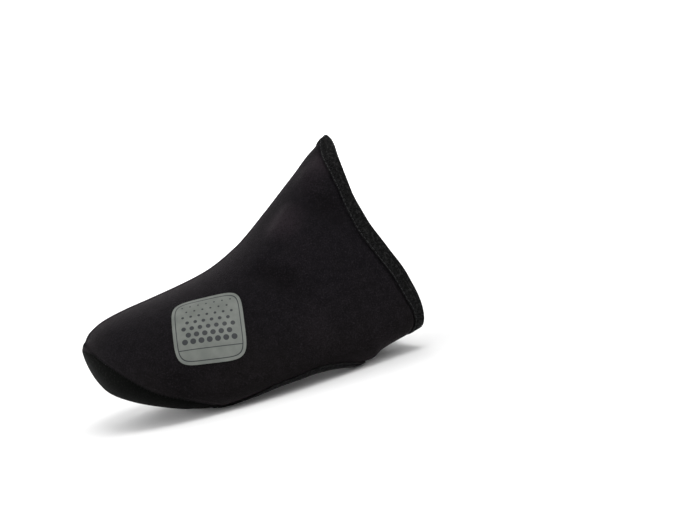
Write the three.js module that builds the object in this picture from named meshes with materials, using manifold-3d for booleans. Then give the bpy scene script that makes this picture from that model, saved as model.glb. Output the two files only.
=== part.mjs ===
// Cycling toe cover: a neoprene shell pulled over the front of a shoe, open behind at a slanting collar and
// underneath at the cleat. Millimetres. The toe points to -X, the outer side of the left foot is -Y, and the
// floor is z = 0.
import * as THREE from 'three';
import Module from 'manifold-3d';

const wasm = await Module();
wasm.setup();

// Main sizes of the shoe's forefoot under the cover
const LENGTH = 167; // toe tip to the rearmost point of the collar edge
const BALL = 98; // width over the ball of the foot
const INSTEP = 109; // height of the ridge where the collar crosses it

// Cloth
const WALL = 3; // neoprene, with its knit faces
const TAPE = 0.7; // each leaf of a folded binding tape
const COLLAR_TAPE = 6.4; // depth of the collar tape from the edge
const OPENING_TAPE = 5; // depth of the opening's tape from the edge
const FILM = 0.3; // reflective transfer
const GAP = 0.3; // air left between two pieces that follow one another
const SETTLE = 0.15; // how much of the opening's tape is pressed flat where the cover rests
const OPENING_CORNER = 5; // exponent of the opening's rounded corners

// Badge on the outer side
const BADGE_WIDTH = 36;
const BADGE_HEIGHT = 38;
const BADGE_CORNER = 5; // exponent of its rounded corners
const BADGE_AT = 0.349; // share of LENGTH
const BADGE_TURN = 0.319; // share of the girth, from the middle of the sole
const BADGE_TILT = -0.22; // radians, tail up from the foot's own line

// How finely the curved faces are cut into flats
const OUTER_ROWS = 28;
const INNER_ROWS = 14;
const ARC_STEPS = 110; // chords used to measure one half of a section
const EDGE_STEPS = 600; // places used to measure an edge before it is spaced out
const COLLAR_STEPS = 66;
const OPENING_STEPS = 60;
const PLUG_RINGS = [1, 0.75, 0.5, 0.25]; // shares of the opening, from its edge inward
const SEAM_STEPS = 26;
const BADGE_RINGS = 3;
const BADGE_SPOKES = 32;

/** Rows with named columns. */
function table(names, rows) {
  return rows.map((row) => Object.fromEntries(names.map((name, k) => [name, row[k]])));
}

// Cross-sections of the outer face. at: share of LENGTH. lateral, medial, ridge: shares of BALL, sideways
// from the foot's axis. under, top, wide: shares of INSTEP above the sole's lowest level, wide being the
// height of the greatest width. crown and corner: exponents of the rounding above and below that height.
const SECTIONS = table(
  ['at', 'lateral', 'medial', 'under', 'top', 'wide', 'crown', 'corner', 'ridge'],
  [
    [0.0, -0.06, 0.06, 0.397, 0.397, 0.397, 2.1, 2.2, 0.06],
    [0.012, 0.09, 0.19, 0.274, 0.423, 0.348, 2.1, 2.2, 0.06],
    [0.04, 0.205, 0.283, 0.179, 0.468, 0.3, 2.15, 2.4, 0.06],
    [0.09, 0.307, 0.35, 0.119, 0.505, 0.264, 2.2, 2.8, 0.06],
    [0.165, 0.395, 0.41, 0.066, 0.527, 0.233, 2.2, 3.2, 0.06],
    [0.245, 0.445, 0.445, 0.024, 0.545, 0.216, 2.15, 3.6, 0.05],
    [0.335, 0.48, 0.465, 0.0, 0.566, 0.208, 2.1, 4.0, 0.05],
    [0.435, 0.5, 0.47, 0.008, 0.599, 0.204, 2.0, 4.2, 0.04],
    [0.547, 0.5, 0.458, 0.02, 0.672, 0.206, 1.9, 4.2, 0.03],
    [0.66, 0.475, 0.425, 0.016, 0.788, 0.216, 1.82, 4.2, 0.03],
    [0.775, 0.446, 0.397, 0.0, 0.923, 0.228, 1.79, 4.0, 0.02],
    [0.825, 0.431, 0.384, 0.0, 0.979, 0.235, 1.77, 4.0, 0.02],
    [0.865, 0.42, 0.375, 0.028, 1.019, 0.241, 1.76, 4.0, 0.02],
    [1.0, 0.394, 0.354, 0.071, 1.15, 0.26, 1.76, 4.0, 0.02],
  ],
);

// Collar edge. turn: share of the girth from the middle of the sole to the ridge. edge: share of LENGTH.
const COLLAR = table(
  ['turn', 'edge'],
  [
    [0.0, 0.981],
    [0.07, 0.982],
    [0.17, 0.998],
    [0.28, 1.004],
    [0.4, 0.984],
    [0.52, 0.946],
    [0.64, 0.912],
    [0.76, 0.897],
    [0.88, 0.899],
    [1.0, 0.91],
  ],
);

// Side edge of the cleat opening, from its front to its rear. at: share of LENGTH. turn: share of the whole
// girth, from the middle of the sole.
const OPENING = table(
  ['at', 'turn'],
  [
    [0.348, 0.127],
    [0.41, 0.14],
    [0.5, 0.15],
    [0.6, 0.149],
    [0.7, 0.133],
    [0.79, 0.11],
  ],
);

// Seam between toe underlay and upper, seen from the side. at: share of LENGTH. height: share of INSTEP.
const SEAM = table(
  ['at', 'height'],
  [
    [-0.03, 0.42],
    [0.008, 0.396],
    [0.05, 0.318],
    [0.1, 0.232],
    [0.15, 0.165],
    [0.22, 0.106],
    [0.29, 0.05],
    [0.335, 0.005],
    [0.36, -0.06],
  ],
);

// Columns of flats round the section, for each half. from, to: shares of the whole girth.
const SPANS = table(
  ['from', 'to', 'count'],
  [
    [0.0, 0.08, 2],
    [0.08, 0.17, 8],
    [0.17, 0.44, 11],
    [0.44, 0.5, 5],
  ],
);

const NOSE_BUNCHING = 1.6; // rows close up towards the toe tip
const SHEAR_FROM = 0.45; // share of the rows after which they lean to the collar edge
const MEAN_COLLAR = 0.87 * LENGTH;
const NUDGE = 0.5; // step along the foot for measuring a slope, mm
const TWIST = 0.004; // step round the girth for measuring a slope, share of it
const LEAP = 1.5; // longest single step when walking over the skin, mm
const BLOCK = 3 * LENGTH; // side of the cutting blocks, past everything

// Middle of the cleat opening
const OPENING_FRONT = OPENING[0].at * LENGTH;
const OPENING_REAR = OPENING[OPENING.length - 1].at * LENGTH;
const OPENING_MIDDLE = { station: (OPENING_FRONT + OPENING_REAR) / 2, turn: 0 };

const V = (x, y, z) => new THREE.Vector3(x, y, z);
const clamp = (x, low, high) => Math.min(high, Math.max(low, x));
const ease = (x) => x * x * (3 - 2 * x);

/** Smooth curve through a table's points without overshoot. */
function curve(rows, across, along) {
  const xs = rows.map((row) => row[across]);
  const ys = rows.map((row) => row[along]);
  const step = xs.slice(1).map((x, k) => x - xs[k]);
  const slope = step.map((h, k) => (ys[k + 1] - ys[k]) / h);
  const tangent = xs.map((_, k) => {
    if (k === 0) return slope[0];
    if (k === xs.length - 1) return slope[k - 1];
    const product = slope[k - 1] * slope[k];
    return product > 0 ? (2 * product) / (slope[k - 1] + slope[k]) : 0;
  });
  return (x) => {
    let k = 0;
    while (k < step.length - 1 && x > xs[k + 1]) k += 1;
    const t = (x - xs[k]) / step[k];
    const rise = step[k] * (t * (1 - t) ** 2 * tangent[k] - t * t * (1 - t) * tangent[k + 1]);
    return (1 + 2 * t) * (1 - t) ** 2 * ys[k] + t * t * (3 - 2 * t) * ys[k + 1] + rise;
  };
}

// Stations enter as square roots, so that the toe closes round instead of to a point.
const ROOTED = SECTIONS.map((row) => ({ ...row, root: Math.sqrt(row.at) }));
const COLUMN = Object.fromEntries(
  Object.keys(SECTIONS[0]).map((name) => [name, curve(ROOTED, 'root', name)]),
);
const collarShare = curve(COLLAR, 'turn', 'edge');
const openingTurn = curve(OPENING, 'at', 'turn');
const seamHeight = curve(SEAM, 'at', 'height');

/** Station of the collar edge at a turn. */
function collarAt(turn) {
  const wrapped = turn - Math.floor(turn);
  return collarShare(2 * Math.min(wrapped, 1 - wrapped)) * LENGTH;
}

/** Point of the outer face at a station (mm from the toe) and a turn (share of the girth from the sole). */
function skin(station, turn) {
  const root = Math.sqrt(Math.max(station, 0) / LENGTH);
  const wrapped = turn - Math.floor(turn);
  const outer = wrapped <= 0.5;
  const ridge = COLUMN.ridge(root) * BALL;
  const half = (outer ? -COLUMN.lateral(root) : COLUMN.medial(root)) * BALL - ridge;
  const wide = COLUMN.wide(root) * INSTEP;
  const rise = COLUMN.top(root) * INSTEP - wide;
  const drop = wide - COLUMN.under(root) * INSTEP;
  const above = 2 / COLUMN.crown(root);
  const below = 2 / COLUMN.corner(root);
  const ys = [];
  const zs = [];
  const arc = [0];
  for (let k = 0; k <= ARC_STEPS; k += 1) {
    const angle = (Math.PI * k) / ARC_STEPS;
    const high = k * 2 > ARC_STEPS;
    const power = high ? above : below;
    ys.push(ridge + half * Math.sin(angle) ** power);
    zs.push(wide + (high ? rise : -drop) * Math.abs(Math.cos(angle)) ** power);
    if (k > 0) arc.push(arc[k - 1] + Math.hypot(ys[k] - ys[k - 1], zs[k] - zs[k - 1]));
  }
  const want = 2 * (outer ? wrapped : 1 - wrapped) * arc[ARC_STEPS];
  let k = 0;
  while (k < ARC_STEPS - 1 && arc[k + 1] < want) k += 1;
  const t = arc[k + 1] > arc[k] ? (want - arc[k]) / (arc[k + 1] - arc[k]) : 0;
  return V(station - LENGTH / 2, ys[k] + t * (ys[k + 1] - ys[k]), zs[k] + t * (zs[k + 1] - zs[k]));
}

/** Both tangents and the outward normal of the skin. */
function frameAt(station, turn) {
  const step = Math.min(NUDGE, station / 4);
  const along = skin(station + step, turn).sub(skin(station - step, turn)).divideScalar(2 * step);
  const round = skin(station, turn + TWIST).sub(skin(station, turn - TWIST)).divideScalar(2 * TWIST);
  return { along, round, normal: along.clone().cross(round).normalize() };
}

/** Goes a distance over the skin in a direction, and gives the new station and turn. */
function walk(place, direction, distance) {
  const steps = Math.max(1, Math.ceil(Math.abs(distance) / LEAP));
  const heading = direction.clone();
  let { station, turn } = place;
  for (let k = 0; k < steps; k += 1) {
    const { along, round, normal } = frameAt(station, turn);
    heading.addScaledVector(normal, -heading.dot(normal)).normalize();
    const aa = along.dot(along);
    const ar = along.dot(round);
    const rr = round.dot(round);
    const a = along.dot(heading);
    const r = round.dot(heading);
    const scale = distance / steps / (aa * rr - ar * ar);
    station += scale * (a * rr - r * ar);
    turn += scale * (r * aa - a * ar);
  }
  return { station, turn };
}

/** Skin point lifted outward along its normal. */
function lifted({ station, turn }, height) {
  return skin(station, turn).addScaledVector(frameAt(station, turn).normal, height);
}

/** Closed solid from points and triangles, whichever way round they were wound. */
function solid(points, triangles) {
  const vertProperties = new Float32Array(points.flatMap((p) => [p.x, p.y, p.z]));
  const volume = triangles.reduce((sum, [a, b, c]) => {
    return sum + points[a].dot(points[b].clone().cross(points[c]));
  }, 0);
  const wound = volume > 0 ? triangles : triangles.map(([a, b, c]) => [a, c, b]);
  const triVerts = new Uint32Array(wound.flat());
  return new wasm.Manifold(new wasm.Mesh({ numProp: 3, vertProperties, triVerts }));
}

/** Closed solid of a three.js geometry. */
function solidOf(geometry) {
  const bare = geometry.index ? geometry.toNonIndexed() : geometry;
  const place = bare.getAttribute('position');
  const found = new Map();
  const points = [];
  const corner = [];
  for (let k = 0; k < place.count; k += 1) {
    const p = V(place.getX(k), place.getY(k), place.getZ(k));
    const key = p.toArray().map((x) => x.toFixed(5)).join(' ');
    if (!found.has(key)) found.set(key, points.push(p) - 1);
    corner.push(found.get(key));
  }
  const triangles = [];
  for (let k = 0; k < corner.length; k += 3) {
    triangles.push([corner[k], corner[k + 1], corner[k + 2]]);
  }
  return solid(points, triangles);
}

/** Two triangles of a quadrilateral, cut along its shorter diagonal. */
function quad(points, a, b, c, d) {
  const straight = points[a].distanceToSquared(points[c]) <= points[b].distanceToSquared(points[d]);
  return straight ? [[a, b, c], [a, c, d]] : [[a, b, d], [b, c, d]];
}

/** Turns of the grid's columns, closer together at the sole's corners and at the ridge. */
const TURNS = (() => {
  const half = SPANS.flatMap(({ from, to, count }) => {
    return Array.from({ length: count }, (_, k) => from + ((to - from) * k) / count);
  });
  return [...half, 0.5, ...half.slice(1).reverse().map((turn) => 1 - turn)];
})();

/** Station of a grid row at a turn: upright at the toe, leaning to the collar edge at the back. */
function stationAt(share, turn) {
  const lean = ease(clamp((share - SHEAR_FROM) / (1 - SHEAR_FROM), 0, 1));
  return MEAN_COLLAR * share ** NOSE_BUNCHING + (collarAt(turn) - MEAN_COLLAR) * lean;
}

/** Unit direction in the skin, square to the collar edge and pointing backward. */
function pastCollar(turn) {
  const before = skin(collarAt(turn - TWIST), turn - TWIST);
  const after = skin(collarAt(turn + TWIST), turn + TWIST);
  return after.sub(before).cross(frameAt(collarAt(turn), turn).normal).normalize();
}

/** One face of the shell: a toe point and rows of points, lifted off the skin. */
function face(rowCount, height, reach) {
  const tip = skin(0, 0).add(V(-height, 0, 0));
  const rows = [];
  for (let k = 1; k <= rowCount; k += 1) {
    const share = k / rowCount;
    rows.push(TURNS.map((turn) => {
      const point = lifted({ station: stationAt(share, turn), turn }, height);
      return k === rowCount ? point.addScaledVector(pastCollar(turn), reach) : point;
    }));
  }
  return [tip, ...rows.flat()];
}

/** Triangles of a face made by face(). */
function faceTriangles(points, rowCount, first) {
  const n = TURNS.length;
  const triangles = [];
  const at = (row, column) => first + 1 + row * n + (column % n);
  for (let c = 0; c < n; c += 1) {
    triangles.push([first, at(0, c), at(0, c + 1)]);
    for (let r = 0; r + 1 < rowCount; r += 1) {
      triangles.push(...quad(points, at(r, c), at(r + 1, c), at(r + 1, c + 1), at(r, c + 1)));
    }
  }
  return triangles;
}

/** Hollow shell between two heights off the skin, open behind, its edge moved back by a reach. */
function shell(outerHeight, innerHeight, reach) {
  const outer = face(OUTER_ROWS, outerHeight, reach);
  const inner = face(INNER_ROWS, innerHeight, reach);
  const points = [...outer, ...inner];
  const n = TURNS.length;
  const first = outer.length;
  const triangles = faceTriangles(points, OUTER_ROWS, 0);
  for (const [a, b, c] of faceTriangles(points, INNER_ROWS, first)) triangles.push([a, c, b]);
  for (let c = 0; c < n; c += 1) {
    const next = (c + 1) % n;
    const a = 1 + (OUTER_ROWS - 1) * n;
    const b = first + 1 + (INNER_ROWS - 1) * n;
    triangles.push(...quad(points, a + c, b + c, b + next, a + next));
  }
  return solid(points, triangles);
}

/** Places evenly spaced along a closed line on the skin. */
function spaced(line, count) {
  const points = line.map(({ station, turn }) => skin(station, turn));
  const arc = [0];
  for (let k = 1; k <= line.length; k += 1) {
    arc.push(arc[k - 1] + points[k % line.length].distanceTo(points[k - 1]));
  }
  const places = [];
  let k = 0;
  for (let i = 0; i < count; i += 1) {
    const want = (arc[line.length] * i) / count;
    while (arc[k + 1] < want) k += 1;
    const t = (want - arc[k]) / (arc[k + 1] - arc[k]);
    const a = line[k];
    const b = line[(k + 1) % line.length];
    places.push({ station: a.station + t * (b.station - a.station), turn: a.turn + t * (b.turn - a.turn) });
  }
  return places;
}

/** Edge of the cleat opening: a round-cornered loop about the middle of the sole. */
function openingEdge() {
  const half = (OPENING_REAR - OPENING_FRONT) / 2;
  const squared = (x) => Math.sign(x) * Math.abs(x) ** (2 / OPENING_CORNER);
  const line = Array.from({ length: EDGE_STEPS }, (_, k) => {
    const angle = (2 * Math.PI * (k + 0.5)) / EDGE_STEPS;
    const station = OPENING_MIDDLE.station + half * squared(Math.cos(angle));
    return { station, turn: openingTurn(station / LENGTH) * squared(Math.sin(angle)) };
  });
  return spaced(line, OPENING_STEPS);
}

/** Collar edge, as places on the skin. */
function collarEdge() {
  const line = Array.from({ length: EDGE_STEPS }, (_, k) => {
    const turn = k / EDGE_STEPS;
    return { station: collarAt(turn), turn };
  });
  return spaced(line, COLLAR_STEPS);
}

/** Directions in the skin, square to a closed edge and pointing into the cloth. */
function intoCloth(edge, sign) {
  const n = edge.length;
  return edge.map((place, k) => {
    const before = edge[(k + n - 1) % n];
    const after = edge[(k + 1) % n];
    const run = skin(after.station, after.turn).sub(skin(before.station, before.turn)).normalize();
    return run.cross(frameAt(place.station, place.turn).normal).normalize().multiplyScalar(sign);
  });
}

/** Solid swept round an edge. profile: points with depth into the cloth and height off the skin. */
function swept(edge, sign, profile) {
  const into = intoCloth(edge, sign);
  const points = edge.flatMap((place, k) => profile.map(({ depth, height }) => {
    const inside = Math.max(depth, 0);
    const beyond = Math.min(depth, 0);
    return lifted(walk(place, into[k], inside), height).addScaledVector(into[k], beyond);
  }));
  const n = edge.length;
  const m = profile.length;
  const triangles = [];
  for (let k = 0; k < n; k += 1) {
    for (let j = 0; j < m; j += 1) {
      const next = ((k + 1) % n) * m;
      const turned = (j + 1) % m;
      triangles.push(...quad(points, k * m + j, next + j, next + turned, k * m + turned));
    }
  }
  return solid(points, triangles);
}

/** Block that fills the cleat opening, drawn in from its edge by a margin. */
function openingPlug(edge, margin) {
  const into = intoCloth(edge, 1);
  const heights = [WALL, -1.5 * WALL];
  const points = heights.map((height) => lifted(OPENING_MIDDLE, height));
  for (const height of heights) {
    for (const share of PLUG_RINGS) {
      for (const [k, place] of edge.entries()) {
        const station = OPENING_MIDDLE.station + (place.station - OPENING_MIDDLE.station) * share;
        const point = lifted({ station, turn: place.turn * share }, height);
        points.push(share === 1 ? point.addScaledVector(into[k], -margin) : point);
      }
    }
  }
  const n = edge.length;
  const last = PLUG_RINGS.length - 1;
  const at = (level, ring, k) => 2 + (level * PLUG_RINGS.length + ring) * n + (k % n);
  const triangles = [];
  for (let k = 0; k < n; k += 1) {
    const next = k + 1;
    triangles.push(...quad(points, at(0, 0, k), at(0, 0, next), at(1, 0, next), at(1, 0, k)));
    for (let ring = 0; ring < last; ring += 1) {
      const inward = ring + 1;
      const [a, b, c, d] = [at(0, ring, k), at(0, inward, k), at(0, inward, next), at(0, ring, next)];
      const [e, f, g, h] = [at(1, ring, k), at(1, ring, next), at(1, inward, next), at(1, inward, k)];
      triangles.push(...quad(points, a, b, c, d), ...quad(points, e, f, g, h));
    }
    triangles.push([at(0, last, k), 0, at(0, last, next)]);
    triangles.push([at(1, last, k), at(1, last, next), 1]);
  }
  return solid(points, triangles);
}

/** Section of a folded tape, filled: its depth on both faces and a rounded fold past the cloth's edge. */
function tapeProfile(depth) {
  const out = GAP + TAPE;
  const far = -WALL - out;
  const fold = -1.2 * out;
  return table(
    ['depth', 'height'],
    [
      [depth, out],
      [0.2 * fold, out],
      [0.8 * fold, out - 0.55 * out],
      [fold, out - 1.3 * out],
      [fold, far + 1.3 * out],
      [0.8 * fold, far + 0.55 * out],
      [0.2 * fold, far],
      [depth, far],
    ],
  );
}

/** Block under the seam line, shifted square to the line, right through the cover. */
function belowSeam(shift) {
  const first = SEAM[0].at;
  const last = SEAM[SEAM.length - 1].at;
  const line = Array.from({ length: SEAM_STEPS + 1 }, (_, k) => {
    const at = first + ((last - first) * k) / SEAM_STEPS;
    return new THREE.Vector2(at * LENGTH - LENGTH / 2, seamHeight(at) * INSTEP);
  });
  const moved = line.map((p, k) => {
    const run = line[Math.min(k + 1, SEAM_STEPS)].clone().sub(line[Math.max(k - 1, 0)]).normalize();
    return new THREE.Vector2(p.x - run.y * shift, p.y + run.x * shift);
  });
  const shape = new THREE.Shape();
  shape.moveTo(moved[0].x, -INSTEP);
  for (const p of moved) shape.lineTo(p.x, p.y);
  shape.lineTo(moved[SEAM_STEPS].x, -INSTEP);
  const geometry = new THREE.ExtrudeGeometry(shape, { depth: BLOCK, bevelEnabled: false });
  geometry.rotateX(Math.PI / 2);
  geometry.translate(0, BLOCK / 2, 0);
  return solidOf(geometry);
}

/** Reflective transfer: a round-cornered patch that follows the skin. */
function badgeSolid() {
  const centre = { station: BADGE_AT * LENGTH, turn: BADGE_TURN };
  const { along, normal } = frameAt(centre.station, centre.turn);
  const level = along.clone().normalize();
  const up = normal.clone().cross(level);
  const reachOf = (angle) => {
    const c = Math.abs(Math.cos(angle)) / (BADGE_WIDTH / 2);
    const s = Math.abs(Math.sin(angle)) / (BADGE_HEIGHT / 2);
    return (c ** BADGE_CORNER + s ** BADGE_CORNER) ** (-1 / BADGE_CORNER);
  };
  const places = [centre];
  for (let ring = 1; ring <= BADGE_RINGS; ring += 1) {
    for (let k = 0; k < BADGE_SPOKES; k += 1) {
      const angle = (2 * Math.PI * k) / BADGE_SPOKES;
      const heading = angle + BADGE_TILT;
      const direction = level.clone().multiplyScalar(Math.cos(heading));
      direction.addScaledVector(up, Math.sin(heading));
      places.push(walk(centre, direction, (reachOf(angle) * ring) / BADGE_RINGS));
    }
  }
  const n = BADGE_SPOKES;
  const points = [GAP + FILM, GAP].flatMap((height) => places.map((place) => lifted(place, height)));
  const side = places.length;
  const triangles = [];
  for (let k = 0; k < n; k += 1) {
    const next = (k + 1) % n;
    for (const base of [0, side]) {
      const turned = base === 0 ? (t) => t : ([a, b, c]) => [a, c, b];
      triangles.push(turned([base, base + 1 + k, base + 1 + next]));
      for (let ring = 0; ring + 1 < BADGE_RINGS; ring += 1) {
        const a = base + 1 + ring * n;
        triangles.push(...quad(points, a + k, a + n + k, a + n + next, a + next).map(turned));
      }
    }
    const rim = 1 + (BADGE_RINGS - 1) * n;
    triangles.push(...quad(points, rim + k, side + rim + k, side + rim + next, rim + next));
  }
  return solid(points, triangles);
}

/** Block under a level plane. */
function under(level) {
  const block = new THREE.BoxGeometry(BLOCK, BLOCK, BLOCK);
  block.translate(0, 0, level - BLOCK / 2);
  return solidOf(block);
}

/** Named mesh of a finished solid. */
function piece(name, body, colour, roughness) {
  const { vertProperties, triVerts } = body.getMesh();
  const geometry = new THREE.BufferGeometry();
  geometry.setAttribute('position', new THREE.BufferAttribute(new Float32Array(vertProperties), 3));
  geometry.setIndex(new THREE.BufferAttribute(new Uint32Array(triVerts), 1));
  geometry.computeVertexNormals();
  const material = new THREE.MeshStandardMaterial({ color: colour, roughness, metalness: 0 });
  const mesh = new THREE.Mesh(geometry, material);
  mesh.name = name;
  return mesh;
}

const edge = openingEdge();
const cloth = shell(0, -WALL, 0).subtract(openingPlug(edge, 0));
const clearance = shell(GAP, -WALL - GAP, GAP).subtract(openingPlug(edge, GAP));
const upper = cloth.subtract(belowSeam(GAP / 2));
const underlay = cloth.intersect(belowSeam(-GAP / 2));
const collarBinding = swept(collarEdge(), -1, tapeProfile(COLLAR_TAPE)).subtract(clearance);
const floor = -GAP - TAPE + SETTLE;
const openingBinding = swept(edge, 1, tapeProfile(OPENING_TAPE)).subtract(clearance).subtract(under(floor));

const pieces = new THREE.Group();
pieces.add(
  piece('upper', upper, 0x1d1a1e, 0.9),
  piece('toe_underlay', underlay, 0x191c1a, 0.8),
  piece('collar_binding', collarBinding, 0x151316, 0.95),
  piece('cleat_opening_binding', openingBinding, 0x151316, 0.95),
  piece('badge', badgeSolid(), 0x858a84, 0.45),
);
const box = new THREE.Box3().setFromObject(pieces, true);
pieces.position.set(-(box.min.x + box.max.x) / 2, -(box.min.y + box.max.y) / 2, -box.min.z);
pieces.updateMatrixWorld(true);

const part = new THREE.Group();
part.name = 'cycling_toe_cover';
part.add(pieces);
export default part;
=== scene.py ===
"""Looks of a cycling toe cover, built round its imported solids.

Metres. The toe points to -X, the outer side of the left foot is -Y and the floor is z = 0.
"""

import logging
import math
from dataclasses import dataclass, field
from enum import Enum
from typing import Sequence

import bpy
import numpy as np
from mathutils import Matrix, Vector


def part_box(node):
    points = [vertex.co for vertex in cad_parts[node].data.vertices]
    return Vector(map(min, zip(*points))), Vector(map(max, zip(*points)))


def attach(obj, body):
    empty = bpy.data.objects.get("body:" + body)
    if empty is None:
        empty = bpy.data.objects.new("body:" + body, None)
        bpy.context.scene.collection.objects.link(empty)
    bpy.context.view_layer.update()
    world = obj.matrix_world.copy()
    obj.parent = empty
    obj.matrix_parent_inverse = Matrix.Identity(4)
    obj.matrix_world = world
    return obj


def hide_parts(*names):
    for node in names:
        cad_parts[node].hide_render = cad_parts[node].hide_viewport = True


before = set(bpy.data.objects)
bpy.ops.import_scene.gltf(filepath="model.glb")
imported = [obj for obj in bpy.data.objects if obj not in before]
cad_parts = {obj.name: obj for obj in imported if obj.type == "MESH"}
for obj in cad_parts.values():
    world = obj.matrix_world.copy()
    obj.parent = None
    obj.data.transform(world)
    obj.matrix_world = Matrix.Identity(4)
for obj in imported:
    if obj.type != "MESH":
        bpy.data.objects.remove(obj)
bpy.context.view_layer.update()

MM = 0.001
BODY = "root"
LOG = logging.getLogger("toe_cover")

# Sizes shared with the solids
WALL = 3.0 * MM
TAPE = 0.7 * MM  # each leaf of a folded tape
COLLAR_TAPE = 6.4 * MM  # depth from the edge
OPENING_TAPE = 5.0 * MM
SETTLE = 0.15 * MM  # how much of the opening's tape is pressed flat on the floor
GAP = 0.3 * MM  # air between two pieces that follow one another
FILM = 0.3 * MM
OPENING_CORNER = 5  # exponent of the cleat opening's round corners

EDGE_SAMPLES = 3000  # places along an edge before it is spaced out evenly


class Leaf(Enum):
    """Material slots of the shell, in the order that its mesh holds them."""

    OUTSIDE = 0
    LINING = 1


class SmoothCurve:
    """Smooth curve through points, without overshoot between them."""

    def __init__(self, xs: Sequence[float], ys: Sequence[float]) -> None:
        """Works out the slopes at the points.

        Args:
            xs: Places of the points, rising.
            ys: Values at the points.
        """
        self.xs = np.asarray(xs, float)
        self.ys = np.asarray(ys, float)
        self.steps = np.diff(self.xs)
        slopes = np.diff(self.ys) / self.steps
        product = slopes[:-1] * slopes[1:]
        total = np.where(product > 0, slopes[:-1] + slopes[1:], 1.0)
        inner = np.where(product > 0, 2 * product / total, 0.0)
        self.tangents = np.concatenate([slopes[:1], inner, slopes[-1:]])

    def __call__(self, x: np.ndarray) -> np.ndarray:
        """Looks the curve up.

        Args:
            x: Places along it.

        Returns:
            The value at each place.
        """
        k = np.clip(np.searchsorted(self.xs, x) - 1, 0, len(self.steps) - 1)
        step = self.steps[k]
        t = (x - self.xs[k]) / step
        ends = (1 + 2 * t) * (1 - t) ** 2 * self.ys[k] + t * t * (3 - 2 * t) * self.ys[k + 1]
        bends = t * (1 - t) ** 2 * self.tangents[k] - t * t * (1 - t) * self.tangents[k + 1]
        return ends + step * bends


@dataclass(frozen=True)
class Section:
    """One cross-section of the outer face.

    at is a share of the length. lateral, medial and ridge are shares of the ball width, and under, top and
    wide are shares of the instep height. crown and corner are exponents of the rounding above and below wide.
    """

    at: float
    lateral: float
    medial: float
    under: float
    top: float
    wide: float
    crown: float
    corner: float
    ridge: float


@dataclass(frozen=True)
class Fold:
    """Soft trough or ridge pressed into the cloth between two places.

    at and turn are shares of the length and of the girth. width is the distance at which the fold has lost
    most of its height, and height is negative in a trough.
    """

    start: tuple[float, float]
    end: tuple[float, float]
    width: float
    height: float


# From the toe tip to past the collar
SECTIONS = (
    Section(0.0, -0.06, 0.06, 0.397, 0.397, 0.397, 2.1, 2.2, 0.06),
    Section(0.012, 0.09, 0.19, 0.274, 0.423, 0.348, 2.1, 2.2, 0.06),
    Section(0.04, 0.205, 0.283, 0.179, 0.468, 0.3, 2.15, 2.4, 0.06),
    Section(0.09, 0.307, 0.35, 0.119, 0.505, 0.264, 2.2, 2.8, 0.06),
    Section(0.165, 0.395, 0.41, 0.066, 0.527, 0.233, 2.2, 3.2, 0.06),
    Section(0.245, 0.445, 0.445, 0.024, 0.545, 0.216, 2.15, 3.6, 0.05),
    Section(0.335, 0.48, 0.465, 0.0, 0.566, 0.208, 2.1, 4.0, 0.05),
    Section(0.435, 0.5, 0.47, 0.008, 0.599, 0.204, 2.0, 4.2, 0.04),
    Section(0.547, 0.5, 0.458, 0.02, 0.672, 0.206, 1.9, 4.2, 0.03),
    Section(0.66, 0.475, 0.425, 0.016, 0.788, 0.216, 1.82, 4.2, 0.03),
    Section(0.775, 0.446, 0.397, 0.0, 0.923, 0.228, 1.79, 4.0, 0.02),
    Section(0.825, 0.431, 0.384, 0.0, 0.979, 0.235, 1.77, 4.0, 0.02),
    Section(0.865, 0.42, 0.375, 0.028, 1.019, 0.241, 1.76, 4.0, 0.02),
    Section(1.0, 0.394, 0.354, 0.071, 1.15, 0.26, 1.76, 4.0, 0.02),
)

# Share of the girth from the sole's middle to the ridge, and the collar edge there as a share of the length
COLLAR = ((0.0, 0.981), (0.07, 0.982), (0.17, 0.998), (0.28, 1.004), (0.4, 0.984), (0.52, 0.946),
          (0.64, 0.912), (0.76, 0.897), (0.88, 0.899), (1.0, 0.91))

# Station of the cleat opening's side edge, and its turn there
OPENING = ((0.348, 0.127), (0.41, 0.14), (0.5, 0.15), (0.6, 0.149), (0.7, 0.133), (0.79, 0.11))

# Seam between the upper and the toe underlay: share of the length, and share of the instep height
SEAM = ((-0.03, 0.42), (0.008, 0.396), (0.05, 0.318), (0.1, 0.232), (0.15, 0.165), (0.22, 0.106),
        (0.29, 0.05), (0.335, 0.005), (0.36, -0.06))

# Creases of the outer side as the photograph shows them, then plainer ones on the hidden side
FOLDS = (
    Fold((0.79, 0.41), (0.835, 0.368), 6.0 * MM, -4.0 * MM),
    Fold((0.835, 0.37), (0.865, 0.31), 6.0 * MM, -0.8 * MM),
    Fold((0.565, 0.375), (0.618, 0.328), 5.5 * MM, -3.6 * MM),
    Fold((0.615, 0.33), (0.68, 0.295), 7.0 * MM, -1.0 * MM),
    Fold((0.705, 0.428), (0.66, 0.418), 7.0 * MM, 2.6 * MM),
    Fold((0.8, 0.455), (0.825, 0.45), 7.0 * MM, 2.0 * MM),
    Fold((0.85, 0.5), (0.875, 0.5), 7.0 * MM, 0.8 * MM),
    Fold((0.745, 0.44), (0.75, 0.41), 5.0 * MM, -0.7 * MM),
    Fold((0.71, 0.37), (0.75, 0.345), 12.0 * MM, 1.1 * MM),
    Fold((0.62, 0.235), (0.66, 0.215), 10.0 * MM, 0.9 * MM),
    Fold((0.765, 0.585), (0.83, 0.64), 6.5 * MM, -2.2 * MM),
    Fold((0.69, 0.565), (0.65, 0.575), 8.0 * MM, 1.4 * MM),
    Fold((0.575, 0.63), (0.65, 0.69), 6.0 * MM, -1.9 * MM),
    Fold((0.71, 0.64), (0.74, 0.67), 12.0 * MM, 0.9 * MM),
)


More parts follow.
